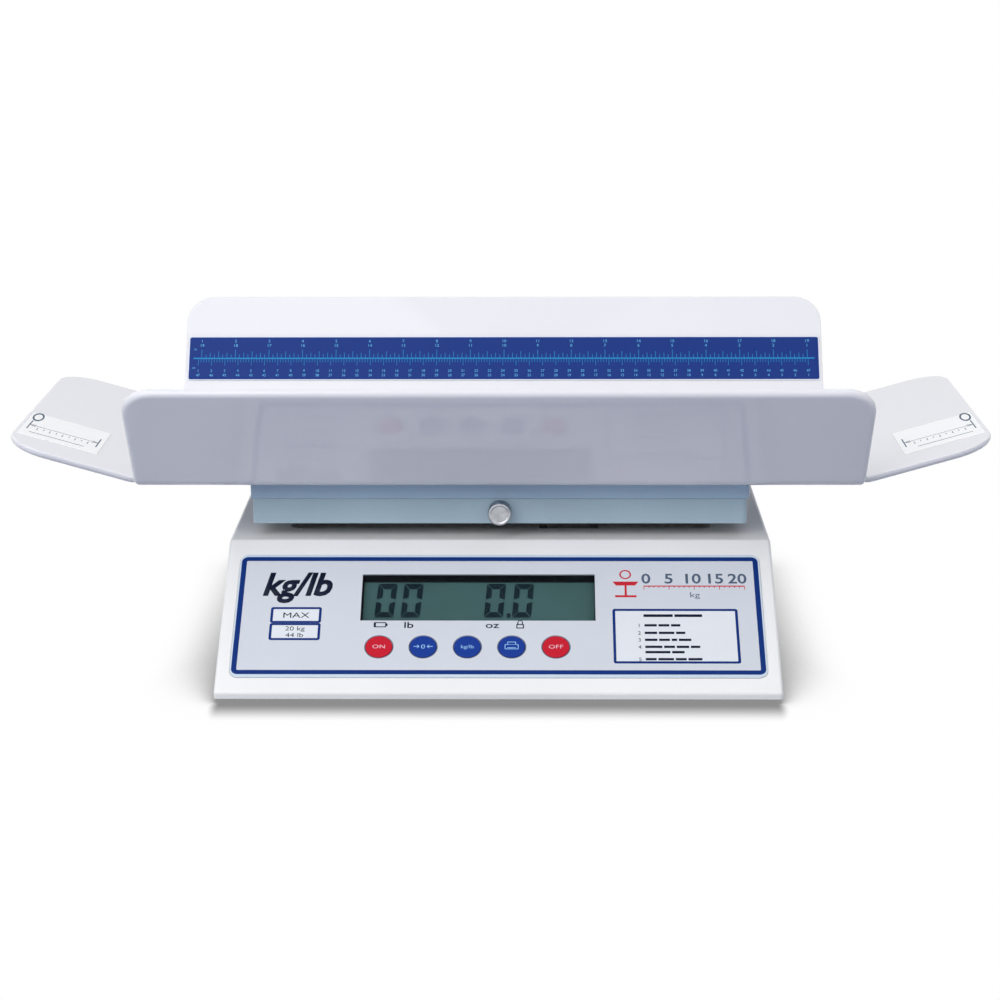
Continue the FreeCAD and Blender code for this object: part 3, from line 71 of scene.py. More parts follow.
class Shading:
    """Short calls that build a node tree; an input takes a value or another node's socket."""

    def __init__(self, tree):
        self.tree = tree

    def feed(self, socket, value):
        """Links a node's socket to the input, or sets the input to a constant."""
        if isinstance(value, bpy.types.NodeSocket):
            self.tree.links.new(value, socket)
        else:
            socket.default_value = value

    def node(self, kind, inputs=None, **settings):
        """Adds a node with these settings and inputs."""
        made = self.tree.nodes.new("ShaderNode" + kind)
        for word, value in settings.items():
            setattr(made, word, value)
        for key, value in (inputs or {}).items():
            self.feed(made.inputs[key], value)
        return made

    def maths(self, operation, first, second=0.0):
        """One operation on one or two values."""
        return self.node("Math", {0: first, 1: second}, operation=operation).outputs[0]

    def spread(self, source, low, high, first=0.3, last=0.7, **settings):
        """Goes from low to high while the source goes from first to last."""
        return self.node("MapRange", {"Value": source, "From Min": first, "From Max": last,
                                      "To Min": low, "To Max": high}, **settings).outputs["Result"]

    def shader_mix(self, factor, first, second):
        """The first shader where the factor is 0, the second where it is 1."""
        return self.node("MixShader", {0: factor, 1: first, 2: second}).outputs[0]

    def seen(self):
        """1 for rays from the camera, mirrored or let through, and 0 for light."""
        path = self.node("LightPath").outputs
        mirrored = self.maths("MAXIMUM", path["Is Glossy Ray"], path["Is Transmission Ray"])
        return self.maths("MAXIMUM", path["Is Camera Ray"], mirrored)


# ------------------------------------------------------------------ materials

class Finish(Shading):
    """A Principled material whose colour, roughness and bump come from nodes."""

    def __init__(self, name, **constants):
        self.material = bpy.data.materials.new(name)
        self.material.use_nodes = True
        super().__init__(self.material.node_tree)
        self.shader = self.tree.nodes["Principled BSDF"]
        for word, value in constants.items():
            socket = word.replace("_", " ").title().replace("Ior", "IOR")
            self.shader.inputs[socket].default_value = value
        self.place = self.node("TexCoord").outputs["Object"]

    def stretched(self, x, y, z):
        """The place, scaled along each axis."""
        return self.node("Mapping", {"Vector": self.place, "Scale": (x, y, z)}).outputs["Vector"]

    def noise(self, size, detail=3.0, place=None):
        """Noise whose features are about size metres across."""
        return self.node("TexNoise", {"Vector": place or self.place, "Scale": 1 / size,
                                      "Detail": detail}).outputs["Fac"]

    def between(self, factor, first, second):
        """The first colour where the factor is 0, the second where it is 1."""
        factor_input, first_input, second_input, colour_output = 0, 6, 7, 2
        mixed = self.node("Mix", data_type="RGBA")
        self.feed(mixed.inputs[factor_input], factor)
        self.feed(mixed.inputs[first_input], first)
        self.feed(mixed.inputs[second_input], second)
        return mixed.outputs[colour_output]

    def tinted(self, source, colour, darkest, lightest):
        """The colour, scaled from darkest to lightest as the source rises."""
        return self.between(self.spread(source, 0.0, 1.0),
                            scaled(colour, darkest), scaled(colour, lightest))

    def flecked(self, tint, source, most, fleck, first=0.3, last=0.7):
        """The tint, with at most this share of the fleck's colour where the source is high."""
        return self.between(self.spread(source, 0.0, most, first, last), tint, fleck)

    def bump(self, height, depth, below=None):
        """A bump of the given depth in metres, over an earlier one."""
        inputs = {"Height": height, "Distance": depth, "Strength": 1.0}
        if below:
            inputs["Normal"] = below
        return self.node("Bump", inputs).outputs["Normal"]

    def finished(self, colour, roughness, normal):
        """The material, once its three channels are fed."""
        self.feed(self.shader.inputs["Base Color"], colour)
        self.feed(self.shader.inputs["Roughness"], roughness)
        self.feed(self.shader.inputs["Normal"], normal)
        return self.material


def moulded(name, colour, roughness, depth=0.006 * MM, **constants):
    """Moulded plastic: faint mottle, fine spark-eroded grain and uneven gloss."""
    mottle, grain = 0.03, 0.5 * MM
    finish = Finish(name, **constants)
    tint = finish.tinted(finish.noise(70 * MM), colour, 1 - mottle, 1 + mottle / 2)
    wave = finish.bump(finish.noise(45 * MM, 1.0), 0.12 * MM)
    return finish.finished(
        finish.flecked(tint, finish.noise(1.1 * MM, 2.0), 0.35, scaled(colour, 1 - 2 * mottle)),
        finish.spread(finish.noise(9 * MM, 4.0), roughness - 0.05, roughness + 0.07),
        finish.bump(finish.noise(grain, 2.0), depth, wave))


def polished_sheet(name, colour, roughness):
    """Glossy formed sheet: a soft waviness in its reflections and fine wiping scratches."""
    finish = Finish(name, ior=1.49, subsurface_weight=0.5, subsurface_radius=(1, 1, 1),
                    subsurface_scale=0.003)
    wiped = finish.noise(0.6 * MM, 2.0, finish.stretched(0.06, 1.0, 1.0))
    scratches = finish.spread(wiped, 0.0, 0.04, 0.55, 0.75)
    haze = finish.spread(finish.noise(30 * MM, 4.0), roughness - 0.03, roughness + 0.03)
    wave = finish.bump(finish.noise(90 * MM, 1.0), 0.12 * MM)
    return finish.finished(
        finish.tinted(finish.noise(120 * MM, 2.0), colour, 0.985, 1.0),
        finish.maths("ADD", haze, scratches),
        finish.bump(wiped, 0.0012 * MM, wave))


def enamel(name, colour):
    """Stoved paint on sheet metal, with a slight orange peel."""
    finish = Finish(name, coat_weight=0.15, coat_roughness=0.2)
    tint = finish.tinted(finish.noise(50 * MM), colour, 0.95, 1.05)
    dust = finish.noise(0.9 * MM, 2.0)
    return finish.finished(
        finish.flecked(tint, dust, 0.3, scaled(colour, 0.85), 0.5, 0.75),
        finish.spread(finish.noise(6 * MM, 4.0), 0.28, 0.41),
        finish.bump(finish.noise(1.6 * MM, 2.0), 0.02 * MM))


def metal(name, colour, roughness, lay=(1.0, 1.0, 1.0), line=0.25 * MM, depth=0.003 * MM):
    """Bare or plated metal; the lay stretches its tool marks along an axis."""
    finish = Finish(name, metallic=1.0)
    marks = finish.noise(line, 3.0, finish.stretched(*lay))
    tint = finish.tinted(finish.noise(14 * MM), colour, 0.88, 1.06)
    return finish.finished(
        finish.flecked(tint, marks, 0.35, scaled(colour, 0.78)),
        finish.spread(marks, roughness - 0.06, roughness + 0.1),
        finish.bump(marks, depth))


def rubber(name, colour):
    """Dull, slightly grainy rubber."""
    finish = Finish(name, specular_ior_level=0.3)
    speck = finish.noise(0.8 * MM, 4.0)
    return finish.finished(
        finish.tinted(speck, colour, 0.8, 1.5),
        finish.spread(finish.noise(4 * MM), 0.68, 0.86),
        finish.bump(speck, 0.03 * MM))


def film(name, colour, roughness=0.42, speck=0.03):
    """Printed film: matte, faintly mottled, with a fine velvet texture."""
    finish = Finish(name, specular_ior_level=0.2)
    grain = finish.noise(0.45 * MM, 2.0)
    tint = finish.tinted(finish.noise(40 * MM, 2.0), colour, 1 - speck / 2, 1 + speck / 2)
    return finish.finished(
        finish.flecked(tint, grain, 0.5, scaled(colour, 1 - 2 * speck)),
        finish.spread(finish.noise(5 * MM), roughness - 0.04, roughness + 0.06),
        finish.bump(grain, 0.003 * MM))


def ink(name, colour):
    """Screen ink, with small pinholes and an uneven gloss."""
    finish = Finish(name, specular_ior_level=0.15)
    grain = finish.noise(0.35 * MM)
    return finish.finished(
        finish.flecked(colour, grain, 0.6, scaled(colour, 1.35), 0.45, 0.8),
        finish.spread(finish.noise(3 * MM), 0.35, 0.48),
        finish.bump(grain, 0.002 * MM))


def clear_window(name):
    """Clear acrylic that lets the lamps through to the display behind it."""
    finish = Finish(name, transmission_weight=1.0, ior=1.1)
    cloud = finish.spread(finish.noise(30 * MM), 0.0, 1.0)
    material = finish.finished(
        finish.between(cloud, tone(246, 250, 250), tone(252, 254, 254)),
        finish.spread(finish.noise(12 * MM, 4.0), 0.015, 0.05),
        finish.bump(finish.noise(60 * MM, 1.0), 0.05 * MM))
    shadow = finish.node("LightPath").outputs["Is Shadow Ray"]
    clear = finish.node("BsdfTransparent").outputs[0]
    surface = finish.shader_mix(shadow, finish.shader.outputs[0], clear)
    finish.feed(finish.tree.nodes["Material Output"].inputs["Surface"], surface)
    return material


def crystal_panel(name, colour):
    """The polarised face of a liquid-crystal panel."""
    finish = Finish(name, specular_ior_level=0.1)
    cloud = finish.noise(35 * MM, 2.0)
    grain = finish.noise(0.3 * MM, 1.0)
    tint = finish.tinted(cloud, colour, 0.94, 1.08)
    return finish.finished(
        finish.flecked(tint, grain, 0.4, scaled(colour, 0.9)),
        finish.spread(cloud, 0.34, 0.46),
        finish.bump(grain, 0.002 * MM))


def board(name, colour):
    """Solder mask over faint copper tracks."""
    finish = Finish(name, coat_weight=0.3, coat_roughness=0.25)
    tracks = finish.node("TexBrick", {"Vector": finish.place, "Scale": 90.0,
                                      "Mortar Size": 0.04}).outputs["Fac"]
    weave = finish.noise(0.7 * MM, 2.0)
    tint = finish.tinted(weave, colour, 0.85, 1.15)
    return finish.finished(
        finish.between(tracks, tint, scaled(colour, 1.7)),
        finish.spread(weave, 0.3, 0.45),
        finish.bump(tracks, 0.03 * MM))


def jacket(name, dark, bright):
    """A cell's printed jacket: dark, with a metallic copper-coloured end."""
    finish = Finish(name, coat_weight=0.4, coat_roughness=0.12)
    along = finish.node("SeparateXYZ", {0: finish.place}).outputs["X"]
    repeated = finish.maths("PINGPONG", along, 70 * MM)
    tint = finish.between(finish.spread(repeated, 0.0, 1.0, 30 * MM, 30.5 * MM), dark, bright)
    return finish.finished(
        finish.flecked(tint, finish.noise(8 * MM), 0.2, scaled(dark, 0.7)),
        finish.spread(finish.noise(2 * MM), 0.22, 0.34),
        finish.bump(finish.noise(3 * MM), 0.01 * MM))


MATERIALS = {
    "white_housing": moulded("white_abs", tone(243, 242, 241), 0.34),
    "grey_cover": moulded("grey_abs", tone(150, 152, 157), 0.5, 0.02 * MM),
    "foot_rubber": rubber("black_rubber", tone(38, 38, 40)),
    "overlay_film": film("overlay_film", tone(212, 216, 223)),
    "clear_window": clear_window("clear_acrylic"),
    "black_plastic": moulded("black_abs", tone(18, 20, 24), 0.45, specular_ior_level=0.2),
    "display_panel": crystal_panel("liquid_crystal", tone(60, 86, 87)),
    "circuit_board": board("solder_mask", tone(30, 104, 66)),
    "screw_steel": metal("zinc_screw", tone(196, 198, 202), 0.3),
    "switch_case": moulded("switch_abs", tone(52, 52, 56), 0.5),
    "key_red": film("key_red", tone(200, 22, 44), 0.36),
    "key_blue": film("key_blue", tone(16, 56, 146), 0.36),
    "plated_steel": metal("zinc_sheet", tone(182, 186, 190), 0.36, (1.0, 0.2, 1.0), 0.6 * MM),
    "bare_aluminium": metal("milled_aluminium", tone(206, 208, 212), 0.32,
                            (0.1, 1.0, 1.0), 0.3 * MM),
    "cast_aluminium": metal("cast_aluminium", tone(168, 170, 174), 0.5,
                            line=1.2 * MM, depth=0.05 * MM),
    "painted_platform": enamel("platform_enamel", tone(164, 186, 198)),
    # the carrier's paint is the platform's made bluer: a painted tint of the shade and reflection
    # under the tray
    "painted_carrier": enamel("carrier_enamel_and_painted_shade", tone(164, 190, 212)),
    "turned_steel": metal("turned_steel", tone(214, 214, 218), 0.26, (1.0, 0.15, 1.0), 0.3 * MM),
    "white_tray": polished_sheet("white_sheet", tone(234, 233, 237), 0.035),
    "blue_rule": film("rule_film", tone(4, 46, 124), 0.38, 0.015),
    "white_label": film("label_film", tone(254, 254, 254), 0.34, 0.01),
    "battery_cell": jacket("cell_jacket", tone(44, 46, 52), tone(196, 138, 72)),
}


def dress_nodes():
    """Each CAD node takes the material of its slot in the record."""
    for part in frame["record"]["subparts"]:
        mesh = frame["nodes"][part["node"]].data
        mesh.materials.clear()
        mesh.materials.append(MATERIALS[part["material_slot"]])


# ------------------------------------------------------------------ printing

CAPITAL_SHARE = 0.73        # a capital's height as a share of the built-in font's size


def added(name, data):
    """A new object in the scene."""
    made = bpy.data.objects.new(name, data)
    bpy.context.scene.collection.objects.link(made)
    return made


def evaluated_mesh(carrier):
    """A new mesh of the object as its modifiers or its curve make it."""
    bpy.context.view_layer.update()
    return bpy.data.meshes.new_from_object(
        carrier.evaluated_get(bpy.context.evaluated_depsgraph_get()))


def rounded(x, y, width, height, radius):
    """The outline of a rounded rectangle about x, y, in mm."""
    steps = 6
    points = []
    for index, (right, up) in enumerate(((1, -1), (1, 1), (-1, 1), (-1, -1))):
        centre_x = x + right * (width / 2 - radius)
        centre_y = y + up * (height / 2 - radius)
        for step in range(steps + 1):
            angle = math.pi / 2 * (index - 1 + step / steps)
            points.append((centre_x + radius * math.cos(angle),
                           centre_y + radius * math.sin(angle)))
    return points


def round_points(x, y, radius, steps=40, turn=2 * math.pi):
    """Points on a circle, or on the part of it that the turn covers."""
    angles = [turn * step / steps for step in range(steps)]
    return [(x + radius * math.cos(angle), y + radius * math.sin(angle)) for angle in angles]


class Print:
    """Flat shapes in mm on one plane, given the thickness of an ink film."""

    def __init__(self):
        self.shapes = bmesh.new()

    def points(self, places):
        """New corners at these places."""
        return [self.shapes.verts.new((x, y, 0)) for x, y in places]

    def area(self, outline):
        """A filled outline."""
        self.shapes.faces.new(self.points(outline))

    def ring(self, outer, inner):
        """The band between two outlines of as many points."""
        outside, inside = self.points(outer), self.points(inner)
        for index in range(len(outer)):
            after = (index + 1) % len(outer)
            self.shapes.faces.new((outside[index], outside[after], inside[after], inside[index]))

    def frame(self, x, y, width, height, radius, line):
        """A rounded rectangle drawn with a line inside its outline."""
        sharpest = 0.05
        self.ring(rounded(x, y, width, height, radius),
                  rounded(x, y, width - 2 * line, height - 2 * line, max(radius - line, sharpest)))

    def hoop(self, x, y, radius, line):
        """A circle drawn with a line inside its radius."""
        self.ring(round_points(x, y, radius), round_points(x, y, radius - line))

    def bar(self, x, y, width, height):
        """A filled rectangle about x, y."""
        right, top = width / 2, height / 2
        self.area([(x - right, y - top), (x + right, y - top),
                   (x + right, y + top), (x - right, y + top)])

    def stroke(self, start, end, line):
        """A straight line with square ends."""
        along = Vector((end[0] - start[0], end[1] - start[1]))
        side = Vector((-along.y, along.x)).normalized() * line / 2
        self.area([(start[0] - side.x, start[1] - side.y), (end[0] - side.x, end[1] - side.y),
                   (end[0] + side.x, end[1] + side.y), (start[0] + side.x, start[1] + side.y)])

    def words(self, text, x, y, height, weight=0.0, slant=0.0, widen=1.0):
        """Centred lettering in the built-in font; height is that of a capital, in mm."""
        curve = bpy.data.curves.new("words", "FONT")
        curve.body = text
        curve.size = height / CAPITAL_SHARE
        curve.offset = weight
        curve.shear = slant
        curve.align_x = "CENTER"
        curve.resolution_u = 3
        carrier = added("words", curve)
        mesh = evaluated_mesh(carrier)
        mesh.transform(Matrix.Translation((x, y - height / 2, 0))
                       @ Matrix.Diagonal((widen, 1, 1, 1)))
        self.shapes.from_mesh(mesh)
        bpy.data.objects.remove(carrier)
        bpy.data.curves.remove(curve)
        bpy.data.meshes.remove(mesh)

    def lay(self, name, plane, body, slot, material, lift=0.04, sheet=0.05):
        """Makes the piece, its face lift mm above the plane."""
        for face in self.shapes.faces:
            face.normal_update()
            if face.normal.z < 0:
                face.normal_flip()
        mesh = bpy.data.meshes.new(name)
        self.shapes.to_mesh(mesh)
        self.shapes.free()
        mesh.transform(plane @ Matrix.Translation((0, 0, lift * MM)) @ Matrix.Scale(MM, 4))
        mesh.materials.append(material)
        piece = added(name, mesh)
        thickness = piece.modifiers.new("ink", "SOLIDIFY")
        thickness.thickness = sheet * MM
        thickness.offset = -1
        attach(piece, body)


def plane_on(node, axis, angle, sheet):
    """The outer face of a flat node: X right, Y up the slope, Z out of it."""
    low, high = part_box(node)
    turn = Matrix.Rotation(angle, 4, axis)
    return Matrix.Translation((low + high) / 2) @ turn @ Matrix.Translation((0, 0, sheet / 2))


# ------------------------------------------------------------------ control panel
# Places are in mm on the overlay: x from its middle to the right, y from its middle up the slope.

OVERLAY_WIDTH, OVERLAY_HEIGHT = 344, 102
OVERLAY_SHEET = 1 * MM
KEYS = {"key_on": -77, "key_zero": -48.5, "key_units": -20, "key_print": 8.5, "key_off": 37}
RED_KEYS = {"key_on": "ON", "key_off": "OFF"}
KEY_Y = -26.4
KEY_HOLE = 8.9
KEY_RISE = 0.5 * MM         # of a key's face over the overlay's
MARK_LINE = 0.75
NAVY = tone(14, 22, 46)
LINE_BLUE = tone(8, 46, 116)
PALE_FILM = tone(204, 219, 232)


def overlay_border(plane):
    """A pale margin, laid at once, and a blue line inside it."""
    side, above, below, line = 1.1, 2.1, 2.5, 3.4
    trim, margin_corner, margin_line, border_corner = 0.8, 5.6, 4, 4.2
    margin = Print()
    margin.frame(0, 0, OVERLAY_WIDTH - trim, OVERLAY_HEIGHT - trim, margin_corner, margin_line)
    margin.lay("overlay_margin", plane, "base", "overlay_film", film("margin_ink", PALE_FILM),
               0.03, 0.04)
    border = Print()
    border.frame(0, (below - above) / 2, OVERLAY_WIDTH - 2 * side, OVERLAY_HEIGHT - above - below,
                 border_corner, line)
    return border


def boxed(blue, white, x, y, width, height, line):
    """A white field in a blue frame."""
    outer_corner, inner_corner = 1.6, 0.6
    blue.frame(x, y, width, height, outer_corner, line)
    white.area(rounded(x, y, width - 2 * line, height - 2 * line, inner_corner))


def capacity_boxes(blue, white, dark):
    """Two stacked boxes with the greatest load in plain numbers."""
    x, width, line = -132.1, 33.2, 1.7
    for y, height in ((-0.3, 13.2), (-14.0, 14.0)):
        boxed(blue, white, x, y, width, height, line)
    for text, y, height, widen in (("MAX", -0.3, 4.6, 1.3), ("20 kg", -11.3, 3.6, 1.2),
                                   ("44 lb", -16.7, 3.6, 1.2)):
        dark.words(text, x, y, height, widen=widen)


def greeked(dark, x, y, lengths, height):
    """Word-long bars in a row, in place of a line of small text."""
    gap = 1.1
    for length in lengths:
        dark.bar(x + length / 2, y, length, height)
        x += length + gap


def steps_box(blue, white, dark):
    """A box with a heading and five numbered steps, all in bars."""
    boxed(blue, white, 114.6, -17.3, 81.4, 44.7, 1.8)
    heading_height, row_height = 2.2, 1.9
    left, number_x, number_height = 94.4, 91.0, 3.0
    rows = ((-8.6, (8, 7, 6)), (-14.8, (8, 10, 6)), (-20.5, (8, 7, 3.5, 8)),
            (-26.2, (11, 7, 8, 6)), (-30.5, (16, 8)), (-36.2, (7, 10, 7, 9)))
    numbered = (-8.6, -14.8, -20.5, -26.2, -36.2)
    greeked(dark, 94, -0.6, (19, 18), heading_height)
    for level, lengths in rows:
        greeked(dark, left, level, lengths, row_height)
    for number, level in enumerate(numbered, start=1):
        dark.words(str(number), number_x, level, number_height)


def gauge(red, grey):
    """A plain scale of numbers over a red line with ticks."""
    start, end, level, line = 95, 161, 24.2, 0.9
    ticks, ticks_per_number, tick_width = 20, 5, 0.45
    numbers, first_number_x, number_step, numbers_y, number_height = 5, 96.5, 15, 30.8, 8.4
    middle, unit_y, unit_height = (start + end) / 2, 17.0, 4.6
    red.bar(middle, level, end - start, line)
    for index in range(ticks + 1):
        tall = 3.0 if index % ticks_per_number == 0 else 1.6
        red.bar(start + (end - start) * index / ticks, level - tall / 2, tick_width, tall)
    for index in range(numbers):
        grey.words(str(ticks_per_number * index), first_number_x + number_step * index, numbers_y,
                   number_height, 0.2, widen=1.1)
    grey.words("kg", middle, unit_y, unit_height, widen=1.2)


def scale_sign(red):
    """The figure of a pan scale, with a round load over it."""
    x, pan_low, pan_high, foot = 83, 24.7, 28, 16.4
    red.area([(x - 8.5, pan_high), (x + 8.5, pan_high), (x + 6.3, pan_low), (x - 6.3, pan_low)])
    red.stroke((x, pan_low), (x, foot), 1.4)
    red.bar(x, foot - 0.8, 14, 1.7)
    red.hoop(x, pan_high + 6, 3.9, 1.0)


def battery_sign(dark, x, y):
    """A battery's outline with its pole, nearly empty."""
    width, height, corner = 8.2, 4.2, 0.6
    dark.frame(x, y, width, height, corner, MARK_LINE)
    dark.bar(x + 4.5, y, 0.8, 2.0)
    dark.bar(x - 3.1, y, 0.9, 3.0)


def padlock_sign(dark, x, y):
    """A padlock: its case, and a shackle of two legs and an arch."""
    leg, arch_y, steps, turn = 1.5, 2.0, 8, math.pi * 9 / 8
    dark.frame(x, y - 1.2, 5.0, 3.6, 0.4, MARK_LINE)
    for side in (-1, 1):
        dark.bar(x + side * leg, y + 1.3, MARK_LINE, 1.6)
    outer, inner = [round_points(x, y + arch_y, radius, steps + 1, turn)
                    for radius in (1.78, 1.22)]
    for index in range(steps):
        dark.area([outer[index], outer[index + 1], inner[index + 1], inner[index]])


def unit_marks(dark):
    """Marks below the display: battery, units and padlock."""
    level, height = -8.3, 5.2
    battery_sign(dark, -77.0, level)
    for text, x in (("lb", -58.4), ("oz", -4.2)):
        dark.words(text, x, level, height, 0.08, widen=1.3)
    padlock_sign(dark, 13.9, level)


def key_rings(rim):
    """A thin grey ring round each key."""
    points, inside, outside = 64, KEY_HOLE + 0.02, KEY_HOLE + 0.55
    for x in KEYS.values():
        rim.ring(round_points(x, KEY_Y, outside, points), round_points(x, KEY_Y, inside, points))


def overlay_print():
    """All that is printed on the overlay, one piece for each ink."""
    plane = plane_on("control_overlay", "X", PANEL_ANGLE, OVERLAY_SHEET)
    blue = overlay_border(plane)
    white, dark, red, grey, rim = Print(), Print(), Print(), Print(), Print()
    capacity_boxes(blue, white, dark)
    steps_box(blue, white, dark)
    gauge(red, grey)
    scale_sign(red)
    unit_marks(dark)
    dark.words("kg/lb", -133.2, 26.2, 19.4, 0.8, slant=0.24, widen=0.885)
    key_rings(rim)
    for name, shapes, material, lift in (
            ("overlay_lines", blue, ink("blue_ink", LINE_BLUE), 0.05),
            ("overlay_panels", white, film("white_ink", tone(228, 231, 236)), 0.03),
            ("overlay_marks", dark, ink("navy_ink", NAVY), 0.06),
            ("overlay_gauge", red, ink("red_ink", tone(196, 38, 52)), 0.04),
            ("overlay_numbers", grey, ink("grey_ink", tone(84, 100, 122)), 0.04),
            ("key_rings", rim, ink("ring_ink", tone(104, 112, 132)), 0.04)):
        shapes.lay(name, plane, "base", "overlay_film", material, lift)


def zero_sign(legend, x):
    """A nought between two arrows that point at it."""
    line, arrow_tail, arrow_tip, barb = 0.5, 6.2, 2.6, (3.9, 1.2)
    legend.words("0", x, KEY_Y, 3.6, 0.02, widen=1.2)
    for side in (-1, 1):
        legend.stroke((x + side * arrow_tail, KEY_Y), (x + side * arrow_tip, KEY_Y), line)
        for up in (-1, 1):
            legend.stroke((x + side * (arrow_tip - 0.1), KEY_Y),
                          (x + side * barb[0], KEY_Y + up * barb[1]), line)


def printer_sign(legend, x):
    """A printer: its case, the paper above and the slot."""
    line = 0.5
    legend.frame(x, KEY_Y - 0.2, 9.0, 4.0, 0.7, line)
    legend.frame(x, KEY_Y + 2.6, 5.6, 2.6, 0.3, line)
    legend.bar(x, KEY_Y - 1.0, 5.6, line)


def key_print(name, x):
    """The legend on one key."""
    panel = plane_on("control_overlay", "X", PANEL_ANGLE, OVERLAY_SHEET)
    legend = Print()
    slot, colour = "key_blue", tone(150, 196, 240)
    if name in RED_KEYS:
        slot, colour = "key_red", tone(244, 190, 200)
        legend.words(RED_KEYS[name], x, KEY_Y, 3.2, 0.02, widen=1.25)
    elif name == "key_units":
        legend.words("kg/lb", x, KEY_Y, 2.9, 0.02, widen=1.15)
    elif name == "key_zero":
        zero_sign(legend, x)
    else:
        printer_sign(legend, x)
    legend.lay(name + "_legend", panel @ Matrix.Translation((0, 0, KEY_RISE)), name, slot,
               ink(name + "_ink", colour))


# ------------------------------------------------------------------ display

GLASS_SHEET = 2.8 * MM
DIGIT_PLACES = (-81.7, -64.5, -10.0, 8.4)
DIGIT_Y, POINT_X = 2.9, 4.9
DIGIT_WIDTH, DIGIT_HEIGHT = 12.5, 28.2
SEGMENT_ACROSS, SEGMENT_UP = 3.6, 4.4
DIGIT_SLANT = 0.07


def segment(display, points, x, y):
    """One lit segment, slanted like the digit whose lower left corner is x, y."""
    display.area([(x + across + DIGIT_SLANT * up, y + up) for across, up in points])


def digit_zero(display, x, y):
    """A numeral of mitred segments, its middle bar unlit; x, y is its lower left corner."""
    width, height, across, up = DIGIT_WIDTH, DIGIT_HEIGHT, SEGMENT_ACROSS, SEGMENT_UP
    gap, middle, point = 0.35, 1.0, 1.6
    bend = across / up
    left, right = across + gap, width - across - gap
    segment(display, [(gap, 0), (width - gap, 0), (right, up), (left, up)], x, y)
    segment(display, [(left, height - up), (right, height - up), (width - gap, height),
                      (gap, height)], x, y)
    lower = (gap / bend, height / 2 - middle, up, point)
    upper = (height / 2 + middle, height - gap / bend, point, up)
    for foot, top, foot_cut, top_cut in (lower, upper):
        short_foot, short_top = foot + foot_cut, top - top_cut
        segment(display, [(0, foot), (across, short_foot), (across, short_top), (0, top)], x, y)
        segment(display, [(width, foot), (width, top), (width - across, short_top),
                          (width - across, short_foot)], x, y)


def display_numbers(x, y):
    """Four noughts and a decimal point, the overlay's middle being at x, y."""
    digits = Print()
    for place in DIGIT_PLACES:
        digit_zero(digits, x + place, y + DIGIT_Y)
    left, low, side, lean = x + POINT_X, y + DIGIT_Y, 2.4, 0.2
    digits.area([(left, low), (left + side, low),
                 (left + side + lean, low + 3.4), (left + lean, low + 3.4)])
    return digits


def display_mask(x, y):
    """Painted shade: a black band along the upper edge of the display's opening and strips down its
    sides, standing in for its walls in shadow.
    """
    centre, half_width = -13.3, 77.3
    mask = Print()
    mask.bar(x + centre, y + 36.2, 158, 8.0)
    for side in (-1, 1):
        mask.bar(x + centre + side * half_width, y + 16.3, 3.0, 35)
    return mask


def display_print():
    """The digits, a painted copy of the faint shadow that they would throw behind them, and painted
    shade along the opening's upper edge and sides.
    """
    plane = plane_on("display_glass", "X", PANEL_ANGLE, GLASS_SHEET)
    overlay = plane_on("control_overlay", "X", PANEL_ANGLE, OVERLAY_SHEET)
    offset = plane.inverted() @ overlay.translation / MM
    # painted shadow of the digits: a darker copy of them, moved down and to the right
    painted_shadow_down, painted_shadow_right, sheet = 0.7, 0.42, 0.02
    shade = display_numbers(offset.x + painted_shadow_right, offset.y - painted_shadow_down)
    shade.lay("display_painted_shadow", plane, "base", "display_panel",
              crystal_panel("display_painted_shadow", tone(50, 74, 76)), 0.02, sheet)
    digits = display_numbers(offset.x, offset.y)
    digits.lay("display_digits", plane, "base", "display_panel",
               crystal_panel("display_digits", tone(12, 26, 34)), 0.06, sheet)
    # painted shade: black print on the glass along the opening's upper edge and sides
    mask = display_mask(offset.x, offset.y)
    mask.lay("display_mask", plane, "base", "black_plastic", ink("painted_shade_ink", tone(6, 9, 14)),
             0.08, sheet)


# ------------------------------------------------------------------ tray labels

LABEL_SHEET = 0.35 * MM
RULE_LENGTH, RULE_HEIGHT = 476.6, 35.7
RULE_MARGIN = 0.8
RULE_LINE_DOWN = 17.1       # from inside the margin to the line between the two scales
INCH, INCHES, INCH_START = 25.4, 19, 9.3
CENTIMETRE, CENTIMETRES, CENTIMETRE_START = 10, 47, 7.0


def rule_marks(left, middle):
    """Eighths of an inch above the rule's line and fifths of a centimetre below it."""
    marks = Print()
    marks.bar(0, middle, RULE_LENGTH - 8, 0.9)
    for index in range(8 * (INCHES - 1) + 1):
        tall = 7.0 if index % 8 == 0 else 5.6 if index % 4 == 0 else 4.4 if index % 2 == 0 else 3.2
        marks.bar(left + INCH_START + INCH * index / 8, middle + tall / 2, 0.35, tall)
    for index in range(5 * (CENTIMETRES - 1) + 1):
        tall = 5.6 if index % 5 == 0 else 3.2
        marks.bar(left + CENTIMETRE_START + CENTIMETRE * index / 5, middle - tall / 2, 0.3, tall)
    return marks


def rule_numbers(left, top):
    """Each unit numbered from both ends."""
    inch_rows, inch_height = (top - 3.0, top - 6.6), 2.3
    centimetre_rows, centimetre_height = (top - 27.0, top - 30.6), 2.1
    numbers = Print()
    for index in range(INCHES):
        x = left + INCH_START + INCH * index
        for number, y in zip((index + 1, INCHES - index), inch_rows):
            numbers.words(str(number), x, y, inch_height, widen=1.1)
    for index in range(CENTIMETRES):
        x = left + CENTIMETRE_START + CENTIMETRE * index
        for number, y in zip((index + 1, CENTIMETRES - index), centimetre_rows):
            numbers.words(str(number), x, y, centimetre_height)
    numbers.words("in", left + 4.4, top - 9.6, 2.0)
    numbers.words("cm", left + 3.6, top - 24.6, 1.8, widen=0.8)
    return numbers


